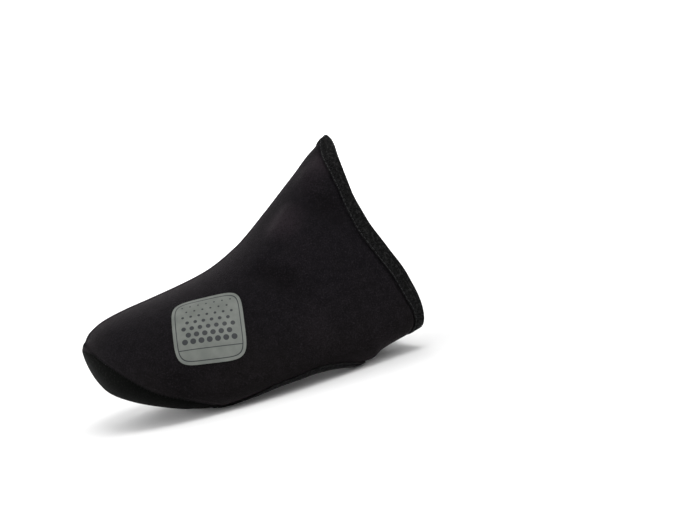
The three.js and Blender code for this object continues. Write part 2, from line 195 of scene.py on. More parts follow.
@dataclass(frozen=True)
class Tint:
    """Soft patch of painted highlight or painted shade on the knit, with its place as shares of the length
    and of the girth.

    strength is how far the middle of the patch goes towards the painted highlight's colour, or towards the
    painted shade's colour if it is negative.
    """

    at: float
    turn: float
    reach: float
    strength: float


# Painted highlight on the ridge's bulges and in a few soft spots on the outer side, painted shade in the
# creases, the hollows and over the toe
PAINTED_PATCHES = (
    Tint(0.68, 0.422, 15.0 * MM, 0.95),
    Tint(0.72, 0.425, 11.0 * MM, 0.22),
    Tint(0.8, 0.448, 13.0 * MM, 0.34),
    Tint(0.85, 0.458, 13.0 * MM, 0.9),
    Tint(0.7, 0.35, 18.0 * MM, 0.1),
    Tint(0.81, 0.392, 12.0 * MM, -0.95),
    Tint(0.84, 0.35, 12.0 * MM, -0.4),
    Tint(0.575, 0.37, 11.0 * MM, -0.75),
    Tint(0.61, 0.335, 12.0 * MM, -0.95),
    Tint(0.66, 0.3, 12.0 * MM, -0.4),
    Tint(0.66, 0.225, 16.0 * MM, 0.18),
    Tint(0.865, 0.131, 11.0 * MM, 0.2),
    Tint(0.035, 0.372, 14.0 * MM, -0.7),
    Tint(0.22, 0.22, 18.0 * MM, -0.7),
)


@dataclass(frozen=True)
class Waist:
    """Place where a tape is narrower.

    turn is the middle of it as a share of the girth, reach the share of the girth at which it has mostly
    faded, and loss the share of the tape's depth that is missing in the middle.
    """

    turn: float
    reach: float
    loss: float


# The collar's tape is stretched over the ridge, and narrower halfway down and at the lower corner
WAISTS = (Waist(0.5, 0.022, 0.42), Waist(0.375, 0.045, 0.22), Waist(0.13, 0.03, 0.3))


def breadth(waists: Sequence[Waist], turn: np.ndarray) -> np.ndarray:
    """Share of its full depth that a tape has.

    Args:
        waists: Where the tape is narrower.
        turn: Places round the girth.

    Returns:
        A share for each place.
    """
    share = np.ones(len(turn))
    for waist in waists:
        share -= waist.loss * np.exp(-(((turn - waist.turn) / waist.reach) ** 2))
    return share


def ease(share: np.ndarray) -> np.ndarray:
    """Smooth step from nothing at 0 to one at 1."""
    return share * share * (3 - 2 * share)


@dataclass
class Skin:
    """Outer face of the cover as a function of station and turn.

    A station is a distance from the toe tip along the foot. A turn is a share of the girth, from the middle
    of the sole over the outer side to the ridge, which is at a half, and back over the inner side.
    """

    length: float = 167 * MM
    ball: float = 98 * MM
    instep: float = 109 * MM
    arc_steps: int = 110
    block: int = 20000
    nudge: float = 0.5 * MM
    twist: float = 0.004
    leap: float = 1.5 * MM
    tip: float = 2.0 * MM
    tip_fade: float = 4.0 * MM
    girth_rows: int = 24
    seam_width: float = 1.0 * MM
    seam_depth: float = 0.55 * MM
    slope_step: float = 0.0005
    ripple: float = 0.14 * MM
    wave_count: int = 14
    pinch: float = 0.85 * MM
    pinch_from: float = 9.5 * MM
    pinch_full: float = 6.2 * MM
    groove: float = 0.5 * MM
    groove_from: float = 7.0 * MM
    groove_width: float = 0.7 * MM
    ridge_flush: float = 5.0 * MM
    seed: int = 11
    shift: np.ndarray = field(default_factory=lambda: np.zeros(3))

    def __post_init__(self) -> None:
        """Makes the curves through the tables, and the faint unevenness of the cloth."""
        roots = [math.sqrt(row.at) for row in SECTIONS]
        self.column = {
            name: SmoothCurve(roots, [getattr(row, name) for row in SECTIONS])
            for name in ("lateral", "medial", "under", "top", "wide", "crown", "corner", "ridge")
        }
        self.collar_share = SmoothCurve(*zip(*COLLAR))
        self.opening_turn = SmoothCurve(*zip(*OPENING))
        self.seam_height = SmoothCurve(*zip(*SEAM))
        stations = np.linspace(self.tip, self.length, self.girth_rows)
        self.girth = SmoothCurve(stations, self._measure(stations, np.zeros(self.girth_rows))[1])
        draw = np.random.default_rng(self.seed)
        self.waves = draw.uniform([25, 25, 0], [120, 110, 2 * math.pi], (self.wave_count, 3))
        self.waves[:, :2] *= draw.choice([-1, 1], (self.wave_count, 2))

    def _measure(self, station: np.ndarray, turn: np.ndarray) -> tuple[np.ndarray, np.ndarray]:
        """Points of the bare form and the girth through each.

        Args:
            station: Stations, one per point.
            turn: Turns, one per point.

        Returns:
            The points, and the girths.
        """
        points = np.empty((len(station), 3))
        girths = np.empty(len(station))
        angle = np.linspace(0, math.pi, self.arc_steps + 1)
        sine, cosine = np.abs(np.sin(angle)), np.abs(np.cos(angle))
        high = np.arange(self.arc_steps + 1) * 2 > self.arc_steps
        for first in range(0, len(station), self.block):
            part = slice(first, first + self.block)
            root = np.sqrt(np.maximum(station[part], 0) / self.length)
            wrapped = turn[part] - np.floor(turn[part])
            outer = wrapped <= 0.5
            value = {name: curve(root)[:, None] for name, curve in self.column.items()}
            ridge = value["ridge"] * self.ball
            half = np.where(outer[:, None], -value["lateral"], value["medial"]) * self.ball - ridge
            wide = value["wide"] * self.instep
            rise = value["top"] * self.instep - wide
            drop = wide - value["under"] * self.instep
            power = np.where(high, 2 / value["crown"], 2 / value["corner"])
            ys = ridge + half * sine ** power
            zs = wide + np.where(high, rise, -drop) * cosine ** power
            arc = np.cumsum(np.hypot(np.diff(ys), np.diff(zs)), axis=1)
            arc = np.concatenate([np.zeros((len(arc), 1)), arc], axis=1)
            want = 2 * np.where(outer, wrapped, 1 - wrapped) * arc[:, -1]
            k = np.clip((arc[:, 1:] < want[:, None]).sum(axis=1), 0, self.arc_steps - 1)[:, None]
            at = [np.take_along_axis(grid, k + step, 1)[:, 0] for grid in (arc, ys, zs) for step in (0, 1)]
            t = (want - at[0]) / np.maximum(at[1] - at[0], 1e-12)
            points[part, 0] = station[part] - self.length / 2
            points[part, 1] = at[2] + t * (at[3] - at[2])
            points[part, 2] = at[4] + t * (at[5] - at[4])
            girths[part] = 2 * arc[:, -1]
        return points + self.shift, girths

    def bare(self, station: np.ndarray, turn: np.ndarray) -> np.ndarray:
        """Points of the smooth form, without folds."""
        return self._measure(np.asarray(station, float), np.asarray(turn, float))[0]

    def tangents(self, station: np.ndarray, turn: np.ndarray) -> tuple[np.ndarray, np.ndarray, np.ndarray]:
        """Directions of the smooth form.

        Args:
            station: Stations.
            turn: Turns.

        Returns:
            The tangents along the foot, the tangents round it and the outward normals.
        """
        step = np.minimum(self.nudge, np.maximum(station, 1e-7) / 4)
        ahead, behind = self.bare(station + step, turn), self.bare(station - step, turn)
        up, down = self.bare(station, turn + self.twist), self.bare(station, turn - self.twist)
        along = (ahead - behind) / (2 * step)[:, None]
        round_ = (up - down) / (2 * self.twist)
        normal = np.cross(along, round_)
        return along, round_, normal / np.linalg.norm(normal, axis=1)[:, None]

    def folds(self, station: np.ndarray, turn: np.ndarray, girth: np.ndarray) -> np.ndarray:
        """Height of the creases.

        Args:
            station: Stations.
            turn: Turns, from 0 to 1.
            girth: The girth at each station.

        Returns:
            A height for each place.
        """
        height = np.zeros(len(station))
        for fold in FOLDS:
            start = np.array([fold.start[0] * self.length, fold.start[1]])
            end = np.array([fold.end[0] * self.length, fold.end[1]])
            run = np.stack([(end[0] - start[0]) * np.ones_like(girth), (end[1] - start[1]) * girth], 1)
            away = np.stack([station - start[0], (turn - start[1]) * girth], 1)
            share = np.clip((run * away).sum(1) / (run * run).sum(1), 0, 1)
            gap = np.linalg.norm(away - share[:, None] * run, axis=1)
            height += fold.height * np.exp(-((gap / fold.width) ** 2))
        return height

    def seam_distance(self, station: np.ndarray, turn: np.ndarray) -> np.ndarray:
        """Distance to the underlay's seam.

        Args:
            station: Stations.
            turn: Turns.

        Returns:
            A distance for each place, a metre for those behind the seam's end.
        """
        share, step = station / self.length, self.slope_step
        rise = (self.bare(station, turn) - self.shift)[:, 2] - self.seam_height(share) * self.instep
        slope = (self.seam_height(share + step) - self.seam_height(share - step)) / (2 * step)
        gap = np.abs(rise) / np.hypot(1, slope * self.instep / self.length)
        return np.where(share < SEAM[-2][0], gap, 1.0)

    def tape_dent(self, station: np.ndarray, turn: np.ndarray, ridge_gap: np.ndarray) -> np.ndarray:
        """Depth of the pinch under the collar's tape, with a groove along the tape's border.

        Args:
            station: Stations.
            turn: Turns, from 0 to 1.
            ridge_gap: Distance to the ridge, where the cloth is stretched flush.

        Returns:
            A depth for each place.
        """
        inside = (self.collar_at(turn) - station) / breadth(WAISTS, turn)
        near = np.clip((self.pinch_from - inside) / (self.pinch_from - self.pinch_full), 0, 1)
        groove = np.exp(-(((inside - self.groove_from) / self.groove_width) ** 2))
        off_ridge = 1 - np.exp(-((ridge_gap / self.ridge_flush) ** 2))
        return off_ridge * (self.pinch * ease(near) + self.groove * groove)

    def relief(self, station: np.ndarray, turn: np.ndarray) -> np.ndarray:
        """Height that folds, seams, the tape's pinch and unevenness add.

        Args:
            station: Stations.
            turn: Turns.

        Returns:
            A height for each place.
        """
        turn = turn - np.floor(turn)
        girth = self.girth(np.clip(station, self.tip, self.length))
        height = self.folds(station, turn, girth)
        sway = sum(np.sin(a * station + b * turn * girth + c) for a, b, c in self.waves)
        height += self.ripple * sway / math.sqrt(self.wave_count)
        ridge_gap = np.abs(turn - 0.5) * girth
        for gap in (ridge_gap, self.seam_distance(station, turn)):
            height -= self.seam_depth * np.exp(-((gap / self.seam_width) ** 2))
        height -= self.tape_dent(station, turn, ridge_gap)
        return height * np.clip(station / self.tip_fade, 0, 1)

    def lifted(self, station: np.ndarray, turn: np.ndarray, height: float | np.ndarray) -> np.ndarray:
        """Points off the folded skin.

        Args:
            station: Stations.
            turn: Turns.
            height: Height above the skin, one for all or one each.

        Returns:
            The points.
        """
        normal = self.tangents(station, turn)[2]
        lift = height + self.relief(station, turn)
        return self.bare(station, turn) + normal * np.broadcast_to(lift, station.shape)[:, None]

    def walk(self, station: np.ndarray, turn: np.ndarray, direction: np.ndarray,
             distance: float | np.ndarray) -> tuple[np.ndarray, np.ndarray]:
        """Goes a distance over the skin from each place.

        Args:
            station: Stations to start from.
            turn: Turns to start from.
            direction: Unit direction at each place.
            distance: How far to go, one for all or one each.

        Returns:
            The new stations and turns.
        """
        distance = np.broadcast_to(np.asarray(distance, float), station.shape)
        steps = max(1, math.ceil(np.abs(distance).max() / self.leap))
        heading = direction.copy()
        for _ in range(steps):
            along, round_, normal = self.tangents(station, turn)
            heading -= normal * (heading * normal).sum(1)[:, None]
            heading /= np.linalg.norm(heading, axis=1)[:, None]
            aa, ar, rr = (along * along).sum(1), (along * round_).sum(1), (round_ * round_).sum(1)
            a, r = (along * heading).sum(1), (round_ * heading).sum(1)
            scale = distance / steps / (aa * rr - ar * ar)
            station = station + scale * (a * rr - r * ar)
            turn = turn + scale * (r * aa - a * ar)
        return station, turn

    def collar_at(self, turn: np.ndarray) -> np.ndarray:
        """Stations of the collar edge at turns."""
        wrapped = turn - np.floor(turn)
        return self.collar_share(2 * np.minimum(wrapped, 1 - wrapped)) * self.length

    def settle(self) -> None:
        """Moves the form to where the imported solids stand."""
        around = np.linspace(0, 1, 241)[:-1]
        stations, turns = np.meshgrid(np.linspace(0.01, 0.9, 90) * self.length, around)
        grid = self.bare(stations.ravel(), turns.ravel())
        low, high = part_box("upper")
        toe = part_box("toe_underlay")[0]
        self.shift = np.array([
            toe.x + self.length / 2,
            (low.y + high.y) / 2 - (grid[:, 1].min() + grid[:, 1].max()) / 2,
            GAP + TAPE - SETTLE,
        ])


@dataclass
class Edge:
    """Closed edge of the cloth, as evenly spaced places on the skin, with the way into the cloth at each."""

    skin: Skin
    station: np.ndarray
    turn: np.ndarray
    sign: int
    into: np.ndarray = field(init=False)
    arc: np.ndarray = field(init=False)

    def __post_init__(self) -> None:
        """Works out the direction into the cloth and the length along the edge."""
        points = self.skin.bare(self.station, self.turn)
        run = np.roll(points, -1, 0) - np.roll(points, 1, 0)
        into = np.cross(run, self.skin.tangents(self.station, self.turn)[2])
        self.into = self.sign * into / np.linalg.norm(into, axis=1)[:, None]
        chords = np.linalg.norm(np.roll(points, -1, 0) - points, axis=1)
        self.arc = np.concatenate([[0], np.cumsum(chords)])

    @classmethod
    def spaced(cls, skin: Skin, station: np.ndarray, turn: np.ndarray, count: int, sign: int) -> "Edge":
        """Spaces a closed line of places out evenly.

        Args:
            skin: The outer face.
            station: Stations along the line, closed on itself.
            turn: Turns along the line, closed on itself.
            count: How many places to make.
            sign: 1 or -1, whichever makes the edge's directions point into the cloth.

        Returns:
            The edge.
        """
        points = skin.bare(station, turn)
        chords = np.linalg.norm(np.roll(points, -1, 0) - points, axis=1)
        arc = np.concatenate([[0], np.cumsum(chords)])
        want = arc[-1] * np.arange(count) / count
        closed_station = np.append(station, station[0])
        closed_turn = np.append(turn, turn[0] + round(turn[-1] - turn[0]))
        return cls(skin, np.interp(want, arc, closed_station), np.interp(want, arc, closed_turn), sign)

    @classmethod
    def of_opening(cls, skin: Skin, count: int) -> "Edge":
        """Makes the edge of the cleat opening, a loop with round corners.

        Args:
            skin: The outer face.
            count: How many places to make.

        Returns:
            The edge.
        """
        front, rear = OPENING[0][0] * skin.length, OPENING[-1][0] * skin.length
        angle = 2 * math.pi * (np.arange(EDGE_SAMPLES) + 0.5) / EDGE_SAMPLES
        across, around = (np.sign(wave) * np.abs(wave) ** (2 / OPENING_CORNER)
                          for wave in (np.cos(angle), np.sin(angle)))
        station = (front + rear) / 2 + (rear - front) / 2 * across
        turn = skin.opening_turn(station / skin.length) * around
        return cls.spaced(skin, station, turn, count, 1)

    @classmethod
    def of_collar(cls, skin: Skin, count: int) -> "Edge":
        """Makes the edge of the collar, all the way round."""
        turn = np.arange(EDGE_SAMPLES) / EDGE_SAMPLES
        return cls.spaced(skin, skin.collar_at(turn), turn, count, -1)


class Meshes:
    """Makes mesh objects from arrays."""

    @staticmethod
    def make(name: str, points: np.ndarray, faces: Sequence[Sequence[int]],
             materials: Sequence[bpy.types.Material], slots: Sequence[int] | None = None,
             uv: np.ndarray | None = None) -> bpy.types.Object:
        """Makes an object at the origin.

        Args:
            name: The object's name.
            points: Vertices, in metres.
            faces: Vertex numbers of each face.
            materials: Materials, in slot order.
            slots: Material slot of each face.
            uv: Map coordinates of each face corner, in metres.

        Returns:
            The object, linked to the scene.
        """
        mesh = bpy.data.meshes.new(name)
        mesh.from_pydata(points.tolist(), [], [list(face) for face in faces])
        for material in materials:
            mesh.materials.append(material)
        if slots is not None:
            mesh.polygons.foreach_set("material_index", np.asarray(slots, np.int32))
        if uv is not None:
            layer = mesh.uv_layers.new(name="run")
            layer.uv.foreach_set("vector", np.asarray(uv, np.float32).ravel())
        mesh.shade_smooth()
        mesh.update()
        thing = bpy.data.objects.new(name, mesh)
        bpy.context.scene.collection.objects.link(thing)
        return thing

    @staticmethod
    def rings(count: int, size: int, first: int = 0) -> list[list[int]]:
        """Lists the quadrilaterals that join closed rings of points.

        Args:
            count: How many rings there are.
            size: Points in each.
            first: Number of the first ring's first point.

        Returns:
            Vertex numbers of each face.
        """
        faces = []
        for ring in range(count - 1):
            here, there = first + ring * size, first + (ring + 1) * size
            for k in range(size):
                turned = (k + 1) % size
                faces.append([here + k, there + k, there + turned, here + turned])
        return faces

    @staticmethod
    def outward(points: np.ndarray, faces: list[list[int]]) -> list[list[int]]:
        """Turns all faces of a closed mesh round if they point inwards.

        Args:
            points: The mesh's vertices.
            faces: Its faces.

        Returns:
            The same list where they point outwards already, or else a new one.
        """
        fans = np.array([(face[0], face[k], face[k + 1]) for face in faces for k in range(1, len(face) - 1)])
        a, b, c = (points[fans[:, k]] for k in range(3))
        volume = (a * np.cross(b, c)).sum()
        return faces if volume > 0 else [face[::-1] for face in faces]

    @staticmethod
    def baked(thing: bpy.types.Object, crease: float | None = None) -> bpy.types.Object:
        """Turns an object's modifiers into its plain mesh.

        Args:
            thing: The object, whose modifiers are taken off.
            crease: Angle above which an edge stays sharp, in degrees.

        Returns:
            The same object.
        """
        graph = bpy.context.evaluated_depsgraph_get()
        mesh = bpy.data.meshes.new_from_object(thing.evaluated_get(graph), depsgraph=graph)
        thing.modifiers.clear()
        old = thing.data
        thing.data = mesh
        bpy.data.meshes.remove(old)
        mesh.name = thing.name
        mesh.shade_smooth()
        if crease is not None:
            mesh.set_sharp_from_angle(angle=math.radians(crease))
        return thing


class Sheet:
    """Short ways to lay out a material's nodes."""

    MIX_COLOURS = (6, 7)  # a Mix node's two colour sockets
    MIX_RESULT = 2  # and the socket of their mix

    def __init__(self, name: str) -> None:
        """Starts a material with a bare Principled shader.

        Args:
            name: The material's name.
        """
        self.material = bpy.data.materials.new(name)
        self.material.use_nodes = True
        self.tree = self.material.node_tree
        self.tree.nodes.clear()
        self.shader = self.tree.nodes.new("ShaderNodeBsdfPrincipled")
        output = self.tree.nodes.new("ShaderNodeOutputMaterial")
        self.link(self.shader.outputs["BSDF"], output.inputs["Surface"])
        self.coords = self.tree.nodes.new("ShaderNodeTexCoord")

    def link(self, source: bpy.types.NodeSocket, target: bpy.types.NodeSocket) -> None:
        """Joins two sockets."""
        self.tree.links.new(source, target)

    def constants(self, **values: float | tuple) -> None:
        """Sets the shader's own sockets.

        Args:
            values: Values by socket name, with underscores for its spaces.
        """
        for name, value in values.items():
            self.shader.inputs[name.replace("_", " ")].default_value = value

    def noise(self, scale: float, detail: float = 2.0, rough: float = 0.55,
              stretch: tuple[float, float, float] = (1, 1, 1), uv: bool = False) -> bpy.types.NodeSocket:
        """Noise on the piece's own coordinates.

        Args:
            scale: Lumps per metre.
            detail: Octaves.
            rough: How strong the finer octaves are.
            stretch: Scale along each axis.
            uv: Whether to follow the piece's map in place of its object coordinates.

        Returns:
            The noise's value socket.
        """
        mapping = self.tree.nodes.new("ShaderNodeMapping")
        mapping.inputs["Scale"].default_value = stretch
        self.link(self.coords.outputs["UV" if uv else "Object"], mapping.inputs["Vector"])
        node = self.tree.nodes.new("ShaderNodeTexNoise")
        node.inputs["Scale"].default_value = scale
        node.inputs["Detail"].default_value = detail
        node.inputs["Roughness"].default_value = rough
        self.link(mapping.outputs["Vector"], node.inputs["Vector"])
        return node.outputs["Fac"]

    def cells(self, scale: float, uv: bool = False) -> bpy.types.NodeSocket:
        """Distance to the middle of the nearest cell.

        Args:
            scale: Cells per metre.
            uv: Whether to follow the piece's map in place of its object coordinates.

        Returns:
            The distance's socket.
        """
        node = self.tree.nodes.new("ShaderNodeTexVoronoi")
        node.inputs["Scale"].default_value = scale
        self.link(self.coords.outputs["UV" if uv else "Object"], node.inputs["Vector"])
        return node.outputs["Distance"]

    def math(self, operation: str, *values: float | bpy.types.NodeSocket) -> bpy.types.NodeSocket:
        """Does one sum.

        Args:
            operation: Name of the Math node's operation.
            values: Sockets or numbers, in order.

        Returns:
            The result's socket.
        """
        node = self.tree.nodes.new("ShaderNodeMath")
        node.operation = operation
        for socket, value in zip(node.inputs, values):
            if isinstance(value, bpy.types.NodeSocket):
                self.link(value, socket)
            else:
                socket.default_value = value
        return node.outputs["Value"]

    def between(self, value: bpy.types.NodeSocket, low: float, high: float,
                to_low: float = 0.0, to_high: float = 1.0) -> bpy.types.NodeSocket:
        """Smooth step of a value from one range into another.

        Args:
            value: The value.
            low: Where the step starts.
            high: Where it ends, which may be lower.
            to_low: What it gives at the start.
            to_high: What it gives at the end.

        Returns:
            The result's socket.
        """
        node = self.tree.nodes.new("ShaderNodeMapRange")
        node.interpolation_type = "SMOOTHSTEP"
        for name, number in zip(("From Min", "From Max", "To Min", "To Max"), (low, high, to_low, to_high)):
            node.inputs[name].default_value = number
        self.link(value, node.inputs["Value"])
        return node.outputs["Result"]

    def mix(self, share: bpy.types.NodeSocket, first: tuple | bpy.types.NodeSocket,
            second: tuple | bpy.types.NodeSocket) -> bpy.types.NodeSocket:
        """Mix of two colours.

        Args:
            share: How much of the second is in the mix.
            first: First colour, as a socket or red, green and blue.
            second: Second colour, likewise.

        Returns:
            The mix's socket.
        """
        node = self.tree.nodes.new("ShaderNodeMix")
        node.data_type = "RGBA"
        self.link(share, node.inputs["Factor"])
        for place, colour in zip(self.MIX_COLOURS, (first, second)):
            socket = node.inputs[place]
            if isinstance(colour, bpy.types.NodeSocket):
                self.link(colour, socket)
            else:
                socket.default_value = (*colour, 1.0)
        return node.outputs[self.MIX_RESULT]

    def near(self, middle: np.ndarray, reach: float) -> bpy.types.NodeSocket:
        """One at a point of the piece, falling softly to nothing.

        Args:
            middle: The point.
            reach: Distance at which nothing is left.

        Returns:
            The result's socket.
        """
        node = self.tree.nodes.new("ShaderNodeVectorMath")
        node.operation = "DISTANCE"
        self.link(self.coords.outputs["Object"], node.inputs[0])
        node.inputs[1].default_value = [float(value) for value in middle]
        return self.between(node.outputs["Value"], reach, 0.0)

    def axes(self, uv: bool = False) -> list[bpy.types.NodeSocket]:
        """The piece's own coordinates.

        Args:
            uv: Whether to give its map in place of its object coordinates.

        Returns:
            A socket for each axis.
        """
        node = self.tree.nodes.new("ShaderNodeSeparateXYZ")
        self.link(self.coords.outputs["UV" if uv else "Object"], node.inputs["Vector"])
        return [node.outputs[axis] for axis in "XYZ"]

    def bump(self, height: bpy.types.NodeSocket, depth: float,
             under: bpy.types.NodeSocket | None = None) -> bpy.types.NodeSocket:
        """Relief too fine for the mesh.

        Args:
            height: Height from 0 to 1.
            depth: What a height of 1 stands for.
            under: Coarser bump that this one lies on.

        Returns:
            The normal's socket.
        """
        node = self.tree.nodes.new("ShaderNodeBump")
        node.inputs["Strength"].default_value = 1.0
        node.inputs["Distance"].default_value = depth
        self.link(height, node.inputs["Height"])
        if under is not None:
            self.link(under, node.inputs["Normal"])
        return node.outputs["Normal"]


@dataclass(frozen=True)
class KnitFinish:
    """Fine nylon knit on neoprene: near black, faintly purple, browner low down, with a short nap."""

    name: str = "neoprene_knit"
    purple: tuple[float, float, float] = (0.0031, 0.0027, 0.0036)
    brown: tuple[float, float, float] = (0.0037, 0.0031, 0.0031)
    # Colour of the knit's pits, and the painted shade of the creases, the hollows and the toe
    pits_and_painted_shade: tuple[float, float, float] = (0.0017, 0.0014, 0.0017)
    fleck: tuple[float, float, float] = (0.0177, 0.0150, 0.0179)
    nap: tuple[float, float, float, float] = (1.0, 0.78, 0.88, 1.0)
    nap_weight: float = 0.032
    # Colour of the painted highlight on the ridge's bulges
    painted_highlight: tuple[float, float, float] = (0.0152, 0.0116, 0.0142)
    brown_top: float = 85.0 * MM
    brown_full: float = 35.0 * MM
    brown_drift: float = 50.0 * MM
    worn_scale: float = 260.0
    worn_share: float = 0.14
    stitch_scale: float = 1500.0
    stitch_depth: float = 0.3 * MM
    pit_share: float = 0.85
    fleck_share: float = 0.7
    pucker_scale: float = 420.0
    pucker_depth: float = 0.14 * MM

    def build(self, skin: Skin) -> bpy.types.Material:
        """Makes the material.

        Args:
            skin: The face that the painted highlight and shade patches lie on.

        Returns:
            The material.
        """
        sheet = Sheet(self.name)
        _, _, height = sheet.axes()
        drift = sheet.math("MULTIPLY", sheet.noise(22, 2), self.brown_drift)
        low = sheet.between(sheet.math("ADD", height, drift), self.brown_top, self.brown_full)
        base = sheet.mix(low, self.purple, self.brown)
        worn = sheet.between(sheet.noise(self.worn_scale, 3, 0.65), 0.35, 0.7, 0.0, self.worn_share)
        base = sheet.mix(worn, base, self.fleck)
        # Painted highlight on the ridge's bulges and painted shade in the creases and over the toe, one patch
        # at a time
        for tint in PAINTED_PATCHES:
            middle = skin.bare(np.array([tint.at * skin.length]), np.array([tint.turn]))[0]
            share = sheet.math("MULTIPLY", sheet.near(middle, tint.reach), abs(tint.strength))
            base = sheet.mix(share, base, self.painted_highlight if tint.strength > 0 else self.pits_and_painted_shade)
        grain = sheet.noise(self.stitch_scale, 3, 0.75)
        # The knit's dark pits take the same colour as the painted shade
        pits = sheet.between(grain, 0.52, 0.3)
        base = sheet.mix(sheet.math("MULTIPLY", pits, self.pit_share), base, self.pits_and_painted_shade)
        flecks = sheet.between(grain, 0.5, 0.74)
        colour = sheet.mix(sheet.math("MULTIPLY", flecks, self.fleck_share), base, self.fleck)
        sheet.link(colour, sheet.shader.inputs["Base Color"])
        pucker = sheet.bump(sheet.noise(self.pucker_scale, 2), self.pucker_depth)
        sheet.link(sheet.bump(grain, self.stitch_depth, pucker), sheet.shader.inputs["Normal"])
        sheet.constants(Roughness=0.82, Sheen_Weight=self.nap_weight, Sheen_Roughness=0.3,
                        Sheen_Tint=self.nap, Specular_IOR_Level=0.046)
        return sheet.material


@dataclass(frozen=True)
class LiningFinish:
    """Plain jersey inside the shell, slightly greyer than the outside."""

    name: str = "jersey_lining"
    colour: tuple[float, float, float] = (0.0077, 0.0077, 0.0085)
    light: tuple[float, float, float] = (0.0170, 0.0170, 0.0185)
    loop_scale: float = 1300.0
    loop_depth: float = 0.35 * MM

    def build(self) -> bpy.types.Material:
        """Makes the material.

        Returns:
            The material.
        """
        sheet = Sheet(self.name)
        loops = sheet.noise(self.loop_scale, 2, 0.6, (1, 1, 0.45))
        colour = sheet.mix(sheet.between(loops, 0.4, 0.7), self.colour, self.light)
        sheet.link(colour, sheet.shader.inputs["Base Color"])
        sheet.link(sheet.bump(loops, self.loop_depth), sheet.shader.inputs["Normal"])
        sheet.constants(Roughness=0.9, Sheen_Weight=0.03, Sheen_Roughness=0.5, Specular_IOR_Level=0.08)
        return sheet.material


@dataclass(frozen=True)
class UnderlayFinish:
    """Rubberised fabric of the toe underlay: greenish black with a coarse pressed grain."""

    name: str = "rubberised_underlay"
    deep: tuple[float, float, float] = (0.0011, 0.0013, 0.0011)
    worn: tuple[float, float, float] = (0.0052, 0.0060, 0.0052)
    grain_scale: float = 760.0
    grain_depth: float = 0.22 * MM
    patch_scale: float = 60.0

    def build(self) -> bpy.types.Material:
        """Makes the material.

        Returns:
            The material.
        """
        sheet = Sheet(self.name)
        pebbles = sheet.cells(self.grain_scale)
        tops = sheet.between(pebbles, 0.45, 0.1)
        patch = sheet.between(sheet.noise(self.patch_scale, 3), 0.4, 0.7)
        colour = sheet.mix(sheet.math("MULTIPLY", tops, patch), self.deep, self.worn)
        sheet.link(colour, sheet.shader.inputs["Base Color"])
        sheet.link(sheet.bump(tops, self.grain_depth), sheet.shader.inputs["Normal"])
        sheet.constants(Roughness=0.72, Specular_IOR_Level=0.023)
        return sheet.material


@dataclass(frozen=True)
class TapeFinish:
    """Elastic binding tape: a cross-ribbed weave of black and grey yarns that looks mottled."""

    name: str = "elastic_tape"
    black: tuple[float, float, float] = (0.0013, 0.0013, 0.0013)
    grey: tuple[float, float, float] = (0.0125, 0.0125, 0.0124)
    ribs_per_metre: float = 900.0
    rib_depth: float = 0.12 * MM
    mottle: float = 520.0
    yarn_depth: float = 0.4 * MM
    spot_share: float = 0.85

    def build(self) -> bpy.types.Material:
        """Makes the material.

        Returns:
            The material.
        """
        sheet = Sheet(self.name)
        along, _, _ = sheet.axes(uv=True)
        wave = sheet.math("SINE", sheet.math("MULTIPLY", along, self.ribs_per_metre * 2 * math.pi))
        ribs = sheet.between(wave, -0.9, 0.9)
        yarn = sheet.noise(self.mottle, 2.0, 0.75, (1, 1.5, 1), uv=True)
        spots = sheet.between(yarn, 0.47, 0.63)
        colour = sheet.mix(sheet.math("MULTIPLY", spots, self.spot_share), self.black, self.grey)
        sheet.link(colour, sheet.shader.inputs["Base Color"])
        coarse = sheet.bump(yarn, self.yarn_depth)
        sheet.link(sheet.bump(ribs, self.rib_depth, coarse), sheet.shader.inputs["Normal"])
        sheet.constants(Roughness=0.8, Sheen_Weight=0.023, Sheen_Roughness=0.35, Specular_IOR_Level=0.06)
        return sheet.material


@dataclass(frozen=True)
class ThreadFinish:
    """Twisted polyester sewing thread."""

    name: str = "black_thread"
    colour: tuple[float, float, float] = (0.0046, 0.0046, 0.0048)
    lift: float = 1.9
    strand_scale: float = 2600.0
    strand_depth: float = 0.12 * MM

    def build(self) -> bpy.types.Material:
        """Makes the material.

        Returns:
            The material.
        """
        sheet = Sheet(self.name)
        strands = sheet.noise(self.strand_scale, 1.5)
        colour = sheet.mix(strands, self.colour, tuple(self.lift * part for part in self.colour))
        sheet.link(colour, sheet.shader.inputs["Base Color"])
        sheet.link(sheet.bump(strands, self.strand_depth), sheet.shader.inputs["Normal"])
        sheet.constants(Roughness=0.6, Specular_IOR_Level=0.04)
        return sheet.material


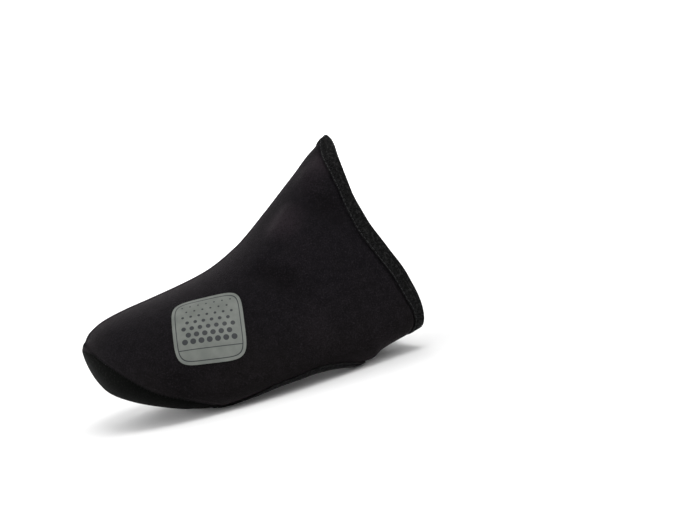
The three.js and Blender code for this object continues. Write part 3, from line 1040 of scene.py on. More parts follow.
@dataclass(frozen=True)
class FilmFinish:
    """Grey-green reflective transfer with a plain printed border, a bar and a field of dots."""

    name: str = "reflective_film"
    ground: tuple[float, float, float] = (0.092, 0.100, 0.091)
    bright: tuple[float, float, float] = (0.120, 0.128, 0.117)
    ink: tuple[float, float, float] = (0.0077, 0.0092, 0.0123)
    half_width: float = 18.0 * MM
    half_height: float = 19.0 * MM
    corner: float = 6.0
    border: float = 1.8 * MM
    line: float = 0.42 * MM
    edge: float = 0.08 * MM
    bar_top: float = -11.2 * MM
    dot_pitch: float = 4.1 * MM
    least_dot: float = 0.45 * MM
    largest_dot: float = 1.5 * MM
    field_side: float = 13.5 * MM
    field_top: float = 15.0 * MM
    field_foot: float = -9.0 * MM
    ink_share: float = 0.93
    bead_scale: float = 1900.0
    bead_depth: float = 0.05 * MM
    cloud_scale: float = 150.0

    def build(self) -> bpy.types.Material:
        """Makes the material, whose print follows the patch's own map.

        Returns:
            The material.
        """
        sheet = Sheet(self.name)
        x, y, _ = sheet.axes(uv=True)
        wide, tall = (
            sheet.math("POWER", sheet.math("ABSOLUTE", sheet.math("DIVIDE", value, half)), self.corner)
            for value, half in ((x, self.half_width), (y, self.half_height))
        )
        share = sheet.math("POWER", sheet.math("ADD", wide, tall), 1 / self.corner)
        inset = sheet.math("MULTIPLY", sheet.math("SUBTRACT", 1.0, share), self.half_width)
        border = self.stroke(sheet, inset, self.border)
        inside = sheet.between(inset, self.border, self.border + 0.1 * MM)
        bar = sheet.math("MULTIPLY", self.stroke(sheet, y, self.bar_top), inside)
        ink = sheet.math("MAXIMUM", sheet.math("MAXIMUM", border, bar), self.dots(sheet, x, y))
        beads = sheet.noise(self.bead_scale, 1.5, 0.7, uv=True)
        cloud = sheet.noise(self.cloud_scale, 2.5, uv=True)
        ground = sheet.mix(sheet.between(cloud, 0.3, 0.75), self.ground, self.bright)
        colour = sheet.mix(sheet.math("MULTIPLY", ink, self.ink_share), ground, self.ink)
        sheet.link(colour, sheet.shader.inputs["Base Color"])
        sheet.link(sheet.between(beads, 0.3, 0.7, 0.4, 0.6), sheet.shader.inputs["Roughness"])
        sheet.link(sheet.bump(beads, self.bead_depth), sheet.shader.inputs["Normal"])
        sheet.constants(Specular_IOR_Level=0.25)
        return sheet.material

    def stroke(self, sheet: Sheet, value: bpy.types.NodeSocket, at: float) -> bpy.types.NodeSocket:
        """Printed line where a value passes a number."""
        gap = sheet.math("ABSOLUTE", sheet.math("SUBTRACT", value, at))
        return sheet.between(gap, self.line * 0.62, self.line * 0.45)

    def dots(self, sheet: Sheet, x: bpy.types.NodeSocket, y: bpy.types.NodeSocket) -> bpy.types.NodeSocket:
        """Field of whole dots in staggered rows, growing from the top to the bottom.

        Args:
            sheet: The material's nodes.
            x: Place across the patch.
            y: Place up the patch.

        Returns:
            The socket of their ink.
        """
        row_pitch = self.dot_pitch * math.sqrt(3) / 2
        level = sheet.math("ROUND", sheet.math("DIVIDE", y, row_pitch))
        odd = sheet.math("MULTIPLY", sheet.math("PINGPONG", level, 1.0), 0.5)
        column = sheet.math("ROUND", sheet.math("SUBTRACT", sheet.math("DIVIDE", x, self.dot_pitch), odd))
        middle_x = sheet.math("MULTIPLY", sheet.math("ADD", column, odd), self.dot_pitch)
        middle_y = sheet.math("MULTIPLY", level, row_pitch)
        gaps = [sheet.math("SUBTRACT", value, middle) for value, middle in ((x, middle_x), (y, middle_y))]
        squares = [sheet.math("MULTIPLY", gap, gap) for gap in gaps]
        away = sheet.math("SQRT", sheet.math("ADD", *squares))
        size = sheet.between(middle_y, self.field_top, self.field_foot, self.least_dot, self.largest_dot)
        spot = sheet.between(sheet.math("SUBTRACT", away, size), self.edge, -self.edge)
        beside = sheet.math("LESS_THAN", sheet.math("ABSOLUTE", middle_x), self.field_side)
        above = sheet.math("GREATER_THAN", middle_y, self.field_foot)
        below = sheet.math("LESS_THAN", middle_y, self.field_top + 0.5 * MM)
        kept = sheet.math("MULTIPLY", beside, sheet.math("MULTIPLY", above, below))
        return sheet.math("MULTIPLY", spot, kept)


@dataclass
class Shell:
    """Hollow neoprene shell: the upper, and the toe underlay cut from the same form."""

    skin: Skin
    knit: bpy.types.Material
    lining: bpy.types.Material
    underlay: bpy.types.Material
    body_rows: int = 150
    rim_rows: int = 26
    rim_share: float = 0.075
    inner_rows: int = 60
    columns: int = 288
    nose_bunching: float = 1.5
    shear_from: float = 0.45
    mean_collar: float = 0.87
    seam_gap: float = 0.06 * MM
    seam_points: int = 90
    block_foot: float = -50.0 * MM
    block_reach: float = 100.0 * MM
    plug_points: int = 240
    plug_shares: tuple[float, ...] = (1.0, 0.8, 0.6, 0.4, 0.2)
    crease: float = 50.0

    def place_grid(self, share: np.ndarray) -> tuple[np.ndarray, np.ndarray]:
        """Lays a grid of places over the skin.

        Args:
            share: How far each row is from the nose to the collar edge, from 0 to 1.

        Returns:
            Stations and turns, row after row.
        """
        turn = np.arange(self.columns) / self.columns
        mean = self.mean_collar * self.skin.length
        lean = ease(np.clip((share - self.shear_from) / (1 - self.shear_from), 0, 1))
        collar = self.skin.collar_at(turn)
        station = mean * share[:, None] ** self.nose_bunching + (collar - mean)[None, :] * lean[:, None]
        return station.ravel(), np.broadcast_to(turn, station.shape).ravel()

    def solid(self, name: str) -> bpy.types.Object:
        """Makes the whole closed shell, open behind.

        Args:
            name: The object's name.

        Returns:
            The shell.
        """
        tip = self.skin.bare(np.zeros(1), np.zeros(1))
        body = np.arange(1, self.body_rows + 1) / self.body_rows * (1 - self.rim_share)
        rim = 1 - self.rim_share * (1 - np.arange(1, self.rim_rows + 1) / self.rim_rows)
        outer_rows = self.body_rows + self.rim_rows
        outer = self.skin.lifted(*self.place_grid(np.concatenate([body, rim])), 0.0)
        inner = self.skin.lifted(*self.place_grid(np.arange(1, self.inner_rows + 1) / self.inner_rows), -WALL)
        points = np.concatenate([tip, outer, tip + [WALL, 0, 0], inner])
        n = self.columns
        first = 1 + len(outer)
        faces = [[0, 1 + k, 1 + (k + 1) % n] for k in range(n)]
        faces += Meshes.rings(outer_rows, n, 1)
        outside = len(faces)
        faces += [[first, first + 1 + (k + 1) % n, first + 1 + k] for k in range(n)]
        faces += [face[::-1] for face in Meshes.rings(self.inner_rows, n, first + 1)]
        out_rim, in_rim = 1 + (outer_rows - 1) * n, first + 1 + (self.inner_rows - 1) * n
        for k in range(n):
            turned = (k + 1) % n
            faces.append([out_rim + k, in_rim + k, in_rim + turned, out_rim + turned])
        slots = [Leaf.OUTSIDE.value] * outside + [Leaf.LINING.value] * (len(faces) - outside)
        faces = Meshes.outward(points, faces)
        return Meshes.make(name, points, faces, [self.knit, self.lining], slots)

    def opening_plug(self) -> bpy.types.Object:
        """Makes a block that fills the cleat opening.

        Returns:
            The block.
        """
        edge = Edge.of_opening(self.skin, self.plug_points)
        middle = (OPENING[0][0] + OPENING[-1][0]) / 2 * self.skin.length
        points = []
        for height in (WALL, -1.5 * WALL):
            for share in self.plug_shares:
                station = middle + (edge.station - middle) * share
                points.append(self.skin.lifted(station, edge.turn * share, height))
        points = np.concatenate(points)
        n, rings = len(edge.turn), len(self.plug_shares)
        top = Meshes.rings(rings, n, 0)
        top.append([(rings - 1) * n + k for k in range(n)][::-1])
        low = [face[::-1] for face in Meshes.rings(rings, n, rings * n)]
        low.append([(2 * rings - 1) * n + k for k in range(n)])
        side = [[(k + 1) % n, rings * n + (k + 1) % n, rings * n + k, k] for k in range(n)]
        return Meshes.make("plug", points, Meshes.outward(points, top + low + side), [self.knit])

    def below_seam(self, shift: float) -> bpy.types.Object:
        """Makes a block under the underlay's seam, through the whole width.

        Args:
            shift: How far it is moved square to the seam.

        Returns:
            The block.
        """
        at = np.linspace(SEAM[0][0], SEAM[-1][0], self.seam_points)
        line = np.stack([(at - 0.5) * self.skin.length, self.skin.seam_height(at) * self.skin.instep], 1)
        run = np.gradient(line, axis=0)
        run /= np.linalg.norm(run, axis=1)[:, None]
        line += np.stack([-run[:, 1], run[:, 0]], 1) * shift
        foot = self.block_foot
        outline = np.concatenate([[[line[0, 0], foot]], line, [[line[-1, 0], foot]]])
        n = len(outline)
        points = np.concatenate([
            np.stack([outline[:, 0], np.full(n, side), outline[:, 1]], 1)
            for side in (-self.block_reach, self.block_reach)
        ]) + self.skin.shift
        faces = [list(range(n))[::-1], [n + k for k in range(n)]]
        faces += [[k, (k + 1) % n, n + (k + 1) % n, n + k] for k in range(n)]
        return Meshes.make("seam_block", points, Meshes.outward(points, faces), [self.knit])

    def cut(self, thing: bpy.types.Object,
            cutters: Sequence[tuple[bpy.types.Object, str]]) -> bpy.types.Object:
        """Cuts an object by others in turn, and bakes the result.

        Args:
            thing: The object.
            cutters: Each other object with what is done with it.

        Returns:
            The object.
        """
        for cutter, operation in cutters:
            cutter.hide_render = True
            modifier = thing.modifiers.new("cut", "BOOLEAN")
            modifier.operation = operation
            modifier.solver = "MANIFOLD"
            modifier.object = cutter
        return Meshes.baked(thing, self.crease)

    def build(self) -> list[bpy.types.Object]:
        """Makes the upper and the toe underlay.

        Returns:
            The two pieces.
        """
        plug = self.opening_plug()
        above, below = self.below_seam(self.seam_gap / 2), self.below_seam(-self.seam_gap / 2)
        upper = self.cut(self.solid("upper_shell"), [(plug, "DIFFERENCE"), (above, "DIFFERENCE")])
        panel = self.cut(self.solid("toe_panel"), [(plug, "DIFFERENCE"), (below, "INTERSECT")])
        panel.data.materials[Leaf.OUTSIDE.value] = self.underlay
        for helper in (plug, above, below):
            bpy.data.objects.remove(helper)
        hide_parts("upper")
        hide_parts("toe_underlay")
        return [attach(upper, BODY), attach(panel, BODY)]


@dataclass
class Binding:
    """Tape folded over an edge of the cloth, as a closed loop of a U-shaped section."""

    name: str
    node: str
    edge: Edge
    depth: float
    material: bpy.types.Material
    waists: tuple[Waist, ...] = ()
    on_floor: bool = False
    fold_reach: float = 1.2 * MM
    sew_line: float = 1.75 * MM
    sew_dip: float = 0.2 * MM
    sew_width: float = 1.3 * MM
    waver: float = 0.22 * MM
    leaf_steps: int = 9
    fold_steps: int = 12
    crease: float = 60.0

    def profile(self) -> np.ndarray:
        """Section of the tape, once round.

        Returns:
            Rows of depth from the cloth's edge and height over the skin.
        """
        out = GAP + TAPE
        far = -WALL - out
        middle = -WALL / 2
        outer_leaf = [(self.depth * (1 - t), out) for t in np.linspace(0, 1, self.leaf_steps)]
        bend = np.linspace(0, math.pi, self.fold_steps + 2)[1:-1]
        outer_bend = [self.bent(a, self.fold_reach, middle, out - middle, 0.62) for a in bend]
        far_leaf = [(self.depth * t, far) for t in np.linspace(0, 1, self.leaf_steps)]
        inner_far = [(self.depth * (1 - t), -WALL - GAP) for t in np.linspace(0, 1, self.leaf_steps)]
        inner_bend = [self.bent(a, self.fold_reach - TAPE, middle, GAP - middle, 0.5) for a in bend[::-1]]
        inner_near = [(self.depth * t, GAP) for t in np.linspace(0, 1, self.leaf_steps)]
        rows = outer_leaf + outer_bend + far_leaf + inner_far + inner_bend + inner_near
        return np.array(rows)

    @staticmethod
    def bent(angle: float, reach: float, middle: float, half: float, square: float) -> tuple[float, float]:
        """Point of the fold past the cloth's edge.

        Args:
            angle: Place on the fold, from 0 at the outer leaf to pi at the inner.
            reach: How far the fold goes past the edge.
            middle: Height of its middle.
            half: Half of its height.
            square: Power that makes it rounder at 1 and squarer below.

        Returns:
            Depth and height.
        """
        rise = math.copysign(abs(math.cos(angle)) ** square, math.cos(angle))
        return -reach * math.sin(angle) ** square, middle + half * rise

    def depths(self) -> np.ndarray:
        """Depth of the tape at each place of the edge."""
        return self.depth * breadth(self.waists, self.edge.turn)

    def build(self) -> bpy.types.Object:
        """Makes the tape.

        Returns:
            The piece.
        """
        edge, skin = self.edge, self.edge.skin
        profile = self.profile()
        n, m = len(edge.turn), len(profile)
        phase = 2 * math.pi * np.arange(n) / n
        depths = self.depths()
        sway = 1 + self.waver / self.depth * (np.sin(7 * phase + 1) + 0.6 * np.sin(17 * phase + 2)) / 1.6
        sway = sway * depths / self.depth
        lines: dict[float, tuple[np.ndarray, np.ndarray, np.ndarray]] = {}
        for inside in sorted({round(max(depth, 0.0), 7) for depth in profile[:, 0]}):
            station, turn = skin.walk(edge.station, edge.turn, edge.into, inside * sway)
            base = skin.lifted(station, turn, 0.0)
            dip = self.sew_dip * np.exp(-(((inside * sway - depths + self.sew_line) / self.sew_width) ** 2))
            lines[inside] = base, skin.tangents(station, turn)[2], dip
        columns = []
        for depth, height in profile:
            base, normal, dip = lines[round(max(depth, 0.0), 7)]
            lift = height - (dip if height > GAP * 1.5 else 0.0)
            columns.append(base + normal * np.broadcast_to(lift, n)[:, None] + edge.into * min(depth, 0.0))
        points = np.stack(columns, 1).reshape(-1, 3)
        if self.on_floor:
            points[:, 2] = np.maximum(points[:, 2], 0.0)
        faces, uv = [], []
        steps = np.linalg.norm(np.diff(profile, axis=0, append=profile[:1]), axis=1)
        run = np.concatenate([[0], np.cumsum(steps)])
        for k in range(n):
            following = (k + 1) % n
            for j in range(m):
                turned = (j + 1) % m
                faces.append([k * m + j, following * m + j, following * m + turned, k * m + turned])
                here, there = edge.arc[k], edge.arc[k + 1]
                uv.append([(here, run[j]), (there, run[j]), (there, run[j + 1]), (here, run[j + 1])])
        wound = Meshes.outward(points, faces)
        if wound is not faces:
            uv = [corner[::-1] for corner in uv]
        tape = Meshes.make(self.name, points, wound, [self.material], uv=np.array(uv).reshape(-1, 2))
        tape.data.set_sharp_from_angle(angle=math.radians(self.crease))
        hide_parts(self.node)
        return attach(tape, BODY)

    def sewing(self, inset: float) -> tuple[np.ndarray, np.ndarray]:
        """Closed line on the tape.

        Args:
            inset: How far it lies in from the tape's sewn border.

        Returns:
            Stations and turns.
        """
        edge = self.edge
        return edge.skin.walk(edge.station, edge.turn, edge.into, self.depths() - inset)


@dataclass(frozen=True)
class Stitch:
    """Size of one kind of stitch, which may lean across its row, by turns to either side."""

    pitch: float
    length: float
    thick: float
    across: float = 0.0
    zigzag: bool = False


ZIGZAG = Stitch(1.3 * MM, 2.7 * MM, 0.42 * MM, math.radians(60), True)
EDGING = Stitch(2.3 * MM, 2.1 * MM, 0.3 * MM)
OVERLOCK = Stitch(1.9 * MM, 2.7 * MM, 0.28 * MM, math.radians(78))
CROSSING = Stitch(2.4 * MM, 2.4 * MM, 0.34 * MM, math.radians(62))


@dataclass
class StitchRow:
    """Row of stitches laid along a line on the skin by a node tree."""

    name: str
    skin: Skin
    station: np.ndarray
    turn: np.ndarray
    height: float
    material: bpy.types.Material
    stitch: Stitch
    closed: bool = True
    on_floor: bool = False
    unevenness: float = 0.12
    seed: int = 3

    def guide(self) -> bpy.types.Object:
        """Lays points along the line, each with its direction and the cloth's normal.

        Returns:
            The object that holds them.
        """
        station, turn = self.station, self.turn
        if self.closed:
            station = np.append(station, station[0])
            turn = np.append(turn, turn[0] + round(turn[-1] - turn[0]))
        points = self.skin.bare(station, turn)
        arc = np.concatenate([[0], np.cumsum(np.linalg.norm(np.diff(points, axis=0), axis=1))])
        count = int(arc[-1] / self.stitch.pitch)
        want = arc[-1] * (np.arange(count) + 0.5) / count
        station, turn = np.interp(want, arc, station), np.interp(want, arc, turn)
        points = self.skin.lifted(station, turn, self.height)
        normal = self.skin.tangents(station, turn)[2]
        run = np.roll(points, -1, 0) - np.roll(points, 1, 0)
        if not self.closed:
            run = np.gradient(points, axis=0)
        mesh = bpy.data.meshes.new(self.name)
        mesh.from_pydata(points.tolist(), [], [])
        for label, rows in (("run", run), ("normal_out", normal)):
            layer = mesh.attributes.new(label, "FLOAT_VECTOR", "POINT")
            layer.data.foreach_set("vector", rows.astype(np.float32).ravel())
        thing = bpy.data.objects.new(self.name, mesh)
        bpy.context.scene.collection.objects.link(thing)
        return thing

    @staticmethod
    def live(sockets: bpy.types.bpy_prop_collection, name: str) -> bpy.types.NodeSocket:
        """Finds the socket of a name that the node's settings leave in use.

        Args:
            sockets: The node's inputs or outputs.
            name: The name.

        Returns:
            The socket.
        """
        return next(socket for socket in sockets if socket.name == name and socket.enabled)

    def tree(self) -> bpy.types.NodeTree:
        """Makes the node tree that lays a rounded stitch on each point.

        Returns:
            The tree.
        """
        tree = bpy.data.node_groups.new(self.name + "_tree", "GeometryNodeTree")
        tree.interface.new_socket("Geometry", in_out="INPUT", socket_type="NodeSocketGeometry")
        for label in ("Length", "Thickness", "Turn", "Alternate", "Unevenness"):
            tree.interface.new_socket(label, in_out="INPUT", socket_type="NodeSocketFloat")
        tree.interface.new_socket("Material", in_out="INPUT", socket_type="NodeSocketMaterial")
        tree.interface.new_socket("Geometry", in_out="OUTPUT", socket_type="NodeSocketGeometry")

        def add(kind: str, inputs: dict[str | int, object],
                **settings: object) -> bpy.types.bpy_prop_collection:
            """Adds a node.

            Args:
                kind: The node's type.
                inputs: Sockets to link or values to set, by the input's name or number.
                settings: The node's own properties.

            Returns:
                The node's outputs.
            """
            node = tree.nodes.new(kind)
            for key, value in settings.items():
                setattr(node, key, value)
            for key, value in inputs.items():
                socket = self.live(node.inputs, key) if isinstance(key, str) else node.inputs[key]
                if isinstance(value, bpy.types.NodeSocket):
                    tree.links.new(value, socket)
                else:
                    socket.default_value = value
            return node.outputs

        def math_of(operation: str, *values: float | bpy.types.NodeSocket) -> bpy.types.NodeSocket:
            """Does one sum."""
            return add("ShaderNodeMath", dict(enumerate(values)), operation=operation)["Value"]

        def stored(name: str) -> bpy.types.NodeSocket:
            """Reads a vector that the guide holds at each point."""
            kind = "GeometryNodeInputNamedAttribute"
            return add(kind, {"Name": name}, data_type="FLOAT_VECTOR")["Attribute"]

        given = add("NodeGroupInput", {})
        ball = add("GeometryNodeMeshUVSphere", {"Segments": 10, "Rings": 7, "Radius": 0.5})
        smooth = add("GeometryNodeSetShadeSmooth", {"Geometry": ball["Mesh"]})
        axes = {"Primary Axis": stored("normal_out"), "Secondary Axis": stored("run")}
        upright = add("FunctionNodeAxesToRotation", axes, primary_axis="Z", secondary_axis="X")
        chances = {"Seed": self.seed, "Max": given["Unevenness"]}
        chance = self.live(add("FunctionNodeRandomValue", chances, data_type="FLOAT"), "Value")
        parity = math_of("MODULO", add("GeometryNodeInputIndex", {})["Index"], 2.0)
        side = math_of("MULTIPLY_ADD", math_of("MULTIPLY", parity, given["Alternate"]), -2.0, 1.0)
        angle = math_of("ADD", math_of("MULTIPLY", given["Turn"], side), chance)
        twist = add("FunctionNodeAxisAngleToRotation", {"Axis": (0, 0, 1), "Angle": angle})
        turns = {"Rotation": upright["Rotation"], "Rotate By": twist["Rotation"]}
        turned = add("FunctionNodeRotateRotation", turns, rotation_space="LOCAL")
        sides = {"X": given["Length"], "Y": given["Thickness"], "Z": given["Thickness"]}
        laid = add("GeometryNodeInstanceOnPoints", {
            "Points": given["Geometry"],
            "Instance": smooth["Geometry"],
            "Rotation": turned["Rotation"],
            "Scale": add("ShaderNodeCombineXYZ", sides)["Vector"],
        })
        real = add("GeometryNodeRealizeInstances", {"Geometry": laid["Instances"]})
        finish = {"Geometry": real["Geometry"], "Material": given["Material"]}
        dressed = add("GeometryNodeSetMaterial", finish)
        add("NodeGroupOutput", {"Geometry": dressed["Geometry"]})
        return tree

    def build(self, slot: str) -> bpy.types.Object:
        """Lays the stitches.

        Args:
            slot: Not used.

        Returns:
            The piece.
        """
        thing = self.guide()
        modifier = thing.modifiers.new("stitches", "NODES")
        modifier.node_group = self.tree()
        values = {
            "Length": self.stitch.length,
            "Thickness": self.stitch.thick,
            "Turn": self.stitch.across,
            "Alternate": float(self.stitch.zigzag),
            "Unevenness": self.unevenness,
            "Material": self.material,
        }
        for item in modifier.node_group.interface.items_tree:
            if item.in_out == "INPUT" and item.name in values:
                modifier[item.identifier] = values[item.name]
        Meshes.baked(thing)
        if self.on_floor:
            for vertex in thing.data.vertices:
                vertex.co.z = max(vertex.co.z, 0.0)
        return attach(thing, BODY)


@dataclass
class Badge:
    """Reflective transfer on the outer side."""

    skin: Skin
    material: bpy.types.Material
    width: float = 36 * MM
    height: float = 38 * MM
    corner: float = 5.0
    at: float = 0.349
    turn: float = 0.319
    tilt: float = -0.22
    rings: int = 26
    spokes: int = 180
    crease: float = 50.0

    def build(self) -> bpy.types.Object:
        """Makes the patch.

        Returns:
            The piece.
        """
        station, turn = np.array([self.at * self.skin.length]), np.array([self.turn])
        along, _, normal = self.skin.tangents(station, turn)
        level = along[0] / np.linalg.norm(along[0])
        up = np.cross(normal[0], level)
        angle = 2 * math.pi * np.arange(self.spokes) / self.spokes
        wide = np.abs(np.cos(angle)) / (self.width / 2)
        tall = np.abs(np.sin(angle)) / (self.height / 2)
        reach = (wide ** self.corner + tall ** self.corner) ** (-1 / self.corner)
        heading = angle + self.tilt
        direction = np.cos(heading)[:, None] * level + np.sin(heading)[:, None] * up
        shares = np.linspace(0, 1, self.rings + 1)[1:]
        places = [self.skin.walk(np.repeat(station, self.spokes), np.repeat(turn, self.spokes), direction,
                                 reach * share) for share in shares]
        flat = np.concatenate([np.stack([np.cos(angle), np.sin(angle)], 1) * (reach * share)[:, None]
                               for share in shares])
        stations = np.concatenate([station] + [place[0] for place in places])
        turns = np.concatenate([turn] + [place[1] for place in places])
        flat = np.concatenate([[[0, 0]], flat])
        outer = self.skin.lifted(stations, turns, GAP + FILM)
        inner = self.skin.lifted(stations, turns, GAP)
        points = np.concatenate([outer, inner])
        flat = np.concatenate([flat, flat])
        n, side = self.spokes, len(outer)
        face_up = [[0, 1 + k, 1 + (k + 1) % n] for k in range(n)] + Meshes.rings(self.rings, n, 1)
        face_down = [[side + k for k in face][::-1] for face in face_up]
        rim = 1 + (self.rings - 1) * n
        edge = [[rim + k, side + rim + k, side + rim + (k + 1) % n, rim + (k + 1) % n] for k in range(n)]
        faces = Meshes.outward(points, face_up + face_down + edge)
        uv = flat[np.concatenate([np.array(face) for face in faces])]
        patch = Meshes.make("badge_film", points, faces, [self.material], uv=uv)
        patch.data.set_sharp_from_angle(angle=math.radians(self.crease))
        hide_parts("badge")
        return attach(patch, BODY)


@dataclass
class Sewing:
    """Every row of stitches on the cover."""

    skin: Skin
    thread: bpy.types.Material
    toe_thread: bpy.types.Material
    edge_thread: bpy.types.Material
    collar: Binding
    opening: Binding
    edge_inset: float = 0.5 * MM
    seam_nose: float = 0.013
    seam_points: int = 200
    seam_rise: float = 0.18 * MM
    ridge_clear: float = 6.0 * MM
    ridge_points: int = 300
    ridge_rise: float = 0.22 * MM

    def side_turn(self, share: np.ndarray, inner: bool) -> np.ndarray:
        """Finds where one side of the skin passes the height of the underlay's seam.

        Args:
            share: Places along the foot, as shares of the length.
            inner: Whether to look on the inner side.

        Returns:
            The turn at each place.
        """
        want = self.skin.seam_height(share) * self.skin.instep + self.skin.shift[2]
        low, high = np.full(len(share), 0.02), np.full(len(share), 0.49)
        for _ in range(30):
            middle = (low + high) / 2
            turn = 1 - middle if inner else middle
            above = self.skin.bare(share * self.skin.length, turn)[:, 2] > want
            high = np.where(above, middle, high)
            low = np.where(above, low, middle)
        found = (low + high) / 2
        return 1 - found if inner else found

    def seam_line(self) -> tuple[np.ndarray, np.ndarray]:
        """Follows the underlay's seam from the opening's outer corner round the toe to the inner one.

        Returns:
            Stations and turns.
        """
        share = np.linspace(SEAM[-2][0], self.seam_nose, self.seam_points)
        outer, inner = self.side_turn(share, False), self.side_turn(share, True)
        station = share * self.skin.length
        return np.concatenate([station, station[::-1]]), np.concatenate([outer, inner[::-1]])

    def ridge_line(self) -> tuple[np.ndarray, np.ndarray]:
        """Follows the ridge, clear of the nose and of the collar edge.

        Returns:
            Stations and turns.
        """
        collar = self.skin.collar_at(np.array([0.5]))[0]
        station = np.linspace(self.ridge_clear, collar - self.ridge_clear, self.ridge_points)
        return station, np.full(self.ridge_points, 0.5)

    def build(self) -> list[bpy.types.Object]:
        """Lays all the rows.

        Returns:
            The pieces.
        """
        out = GAP + TAPE
        sunk, edging = out - 0.05 * MM, out - 0.1 * MM
        collar, opening = (tape.sewing(tape.sew_line) for tape in (self.collar, self.opening))
        rows = [
            StitchRow("collar_zigzag", self.skin, *collar, sunk, self.thread, ZIGZAG),
            StitchRow("opening_zigzag", self.skin, *opening, sunk, self.thread, ZIGZAG, on_floor=True),
            StitchRow("collar_edge_stitches", self.skin, *self.collar.sewing(self.edge_inset), edging,
                      self.edge_thread, EDGING),
            StitchRow("underlay_stitches", self.skin, *self.seam_line(), self.seam_rise,
                      self.toe_thread, OVERLOCK, closed=False),
            StitchRow("ridge_stitches", self.skin, *self.ridge_line(), self.ridge_rise,
                      self.thread, CROSSING, closed=False),
        ]
        return [row.build("tape") for row in rows]


@dataclass(frozen=True)
class Lamp:
    """Soft square light: its middle, the length of its sides, its watts and what it points at."""

    name: str
    place: tuple[float, float, float]
    size: float
    power: float
    target: tuple[float, float, float] = (0.0, 0.0, 0.05)


LAMPS = (
    Lamp("behind_left", (-1.2, 1.4, 1.3), 1.0, 6.6),
    Lamp("left", (-1.9, 0.3, 0.6), 0.8, 23),
    Lamp("front", (0.3, -2.0, 0.9), 1.6, 13),
    Lamp("above", (0.2, -1.0, 1.8), 1.0, 20),
    Lamp("right", (1.6, -1.2, 0.9), 0.9, 15),
    Lamp("backdrop", (0.0, 1.4, 2.4), 2.0, 125, (0.0, 3.8, 0.8)),
)


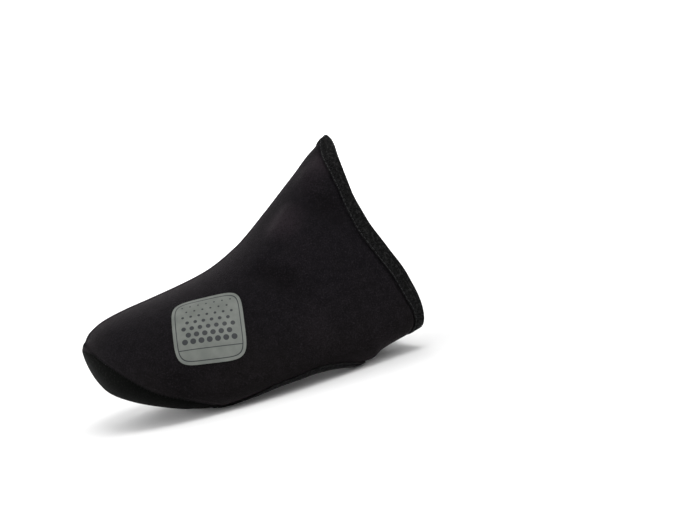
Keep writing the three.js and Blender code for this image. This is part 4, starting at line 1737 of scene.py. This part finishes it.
@dataclass
class Studio:
    """Pale floor, soft lights and the camera."""

    picture_width: int = 700
    focal_pixels: float = 2097.0
    azimuth: float = -14.0
    elevation: float = 7.0
    roll: float = 14.72
    distance: float = 1.1
    aim: tuple[float, float, float] = (0.06237, 0.0, 0.05117)
    sensor: float = 36.0
    floor_half: float = 4.0
    floor_depth: float = 2.6
    floor_bend: float = 1.2
    floor_top: float = 5.0
    floor_tones: tuple[float, float] = (0.82, 0.84)
    glow: float = 0.55

    def camera(self) -> None:
        """Places the camera at the photograph's angle to the cover, rolled as the cover is tilted there."""
        a, e, r = (math.radians(x) for x in (self.azimuth, self.elevation, self.roll))
        back = Vector((math.sin(a) * math.cos(e), -math.cos(a) * math.cos(e), math.sin(e)))
        level = Vector((math.cos(a), math.sin(a), 0))
        up = back.cross(level)
        right = math.cos(r) * level - math.sin(r) * up
        above = math.sin(r) * level + math.cos(r) * up
        data = bpy.data.cameras.new("camera")
        data.sensor_width = self.sensor
        data.lens = data.sensor_width * self.focal_pixels / self.picture_width
        data.clip_start = 0.01
        data.clip_end = 50
        thing = bpy.data.objects.new("camera", data)
        bpy.context.scene.collection.objects.link(thing)
        turn = Matrix((right, above, back)).transposed().to_4x4()
        thing.matrix_world = Matrix.Translation(Vector(self.aim) + back * self.distance) @ turn
        bpy.context.scene.camera = thing

    def floor(self) -> None:
        """Makes a pale sweep: a floor that curves up behind."""
        half, depth, bend = self.floor_half, self.floor_depth, self.floor_bend
        outline = [(-half, 0.0), (depth, 0.0)]
        for angle in np.linspace(0, math.pi / 2, 24)[1:]:
            outline.append((depth + bend * math.sin(angle), bend * (1 - math.cos(angle))))
        outline.append((depth + bend, self.floor_top))
        points = np.array([(x, y, z) for y, z in outline for x in (-half, half)])
        faces = [[2 * k, 2 * k + 1, 2 * k + 3, 2 * k + 2] for k in range(len(outline) - 1)]
        sheet = Sheet("pale_paper")
        tone = sheet.mix(sheet.noise(3, 2), *((level,) * 3 for level in self.floor_tones))
        sheet.link(tone, sheet.shader.inputs["Base Color"])
        sheet.constants(Roughness=0.9, Specular_IOR_Level=0.1)
        Meshes.make("sweep", points, faces, [sheet.material])

    def light(self, lamp: Lamp) -> None:
        """Adds a light.

        Args:
            lamp: What it is and where it stands.
        """
        data = bpy.data.lights.new(lamp.name, "AREA")
        data.shape = "SQUARE"
        data.size = lamp.size
        data.energy = lamp.power
        thing = bpy.data.objects.new(lamp.name, data)
        bpy.context.scene.collection.objects.link(thing)
        place = Vector(lamp.place)
        facing = (place - Vector(lamp.target)).to_track_quat("Z", "Y").to_matrix().to_4x4()
        thing.matrix_world = Matrix.Translation(place) @ facing

    def build(self) -> None:
        """Sets up the camera, the sweep, the lights and the surrounding glow."""
        self.camera()
        self.floor()
        for lamp in LAMPS:
            self.light(lamp)
        world = bpy.data.worlds.new("glow")
        world.use_nodes = True
        ground = world.node_tree.nodes["Background"]
        ground.inputs["Color"].default_value = (1, 1, 1, 1)
        ground.inputs["Strength"].default_value = self.glow
        bpy.context.scene.world = world
        bpy.context.scene.view_settings.view_transform = "Standard"


def report(pieces: Sequence[bpy.types.Object]) -> None:
    """Logs each piece's name and size in triangles.

    Args:
        pieces: The pieces.
    """
    for piece in pieces:
        triangles = sum(len(face.vertices) - 2 for face in piece.data.polygons)
        LOG.info("%s: %d triangles", piece.name, triangles)


def main() -> None:
    """Builds every piece of the cover, and the studio round it."""
    logging.basicConfig(level=logging.INFO, format="%(name)s %(message)s")
    Studio().build()
    skin = Skin()
    skin.settle()
    knit, tape, thread = KnitFinish().build(skin), TapeFinish().build(), ThreadFinish().build()
    shell = Shell(skin, knit, LiningFinish().build(), UnderlayFinish().build())
    report(shell.build())
    collar = Binding("collar_tape", "collar_binding", Edge.of_collar(skin, 420), COLLAR_TAPE, tape, WAISTS)
    opening = Binding("opening_tape", "cleat_opening_binding", Edge.of_opening(skin, 360), OPENING_TAPE,
                      tape, on_floor=True)
    report([collar.build(), opening.build()])
    report([Badge(skin, FilmFinish().build()).build()])
    toe_thread = ThreadFinish("toe_thread", (0.0030, 0.0030, 0.0032)).build()
    edge_thread = ThreadFinish("edge_thread", (0.0200, 0.0200, 0.0208)).build()
    report(Sewing(skin, thread, toe_thread, edge_thread, collar, opening).build())


if __name__ == "__main__":
    main()
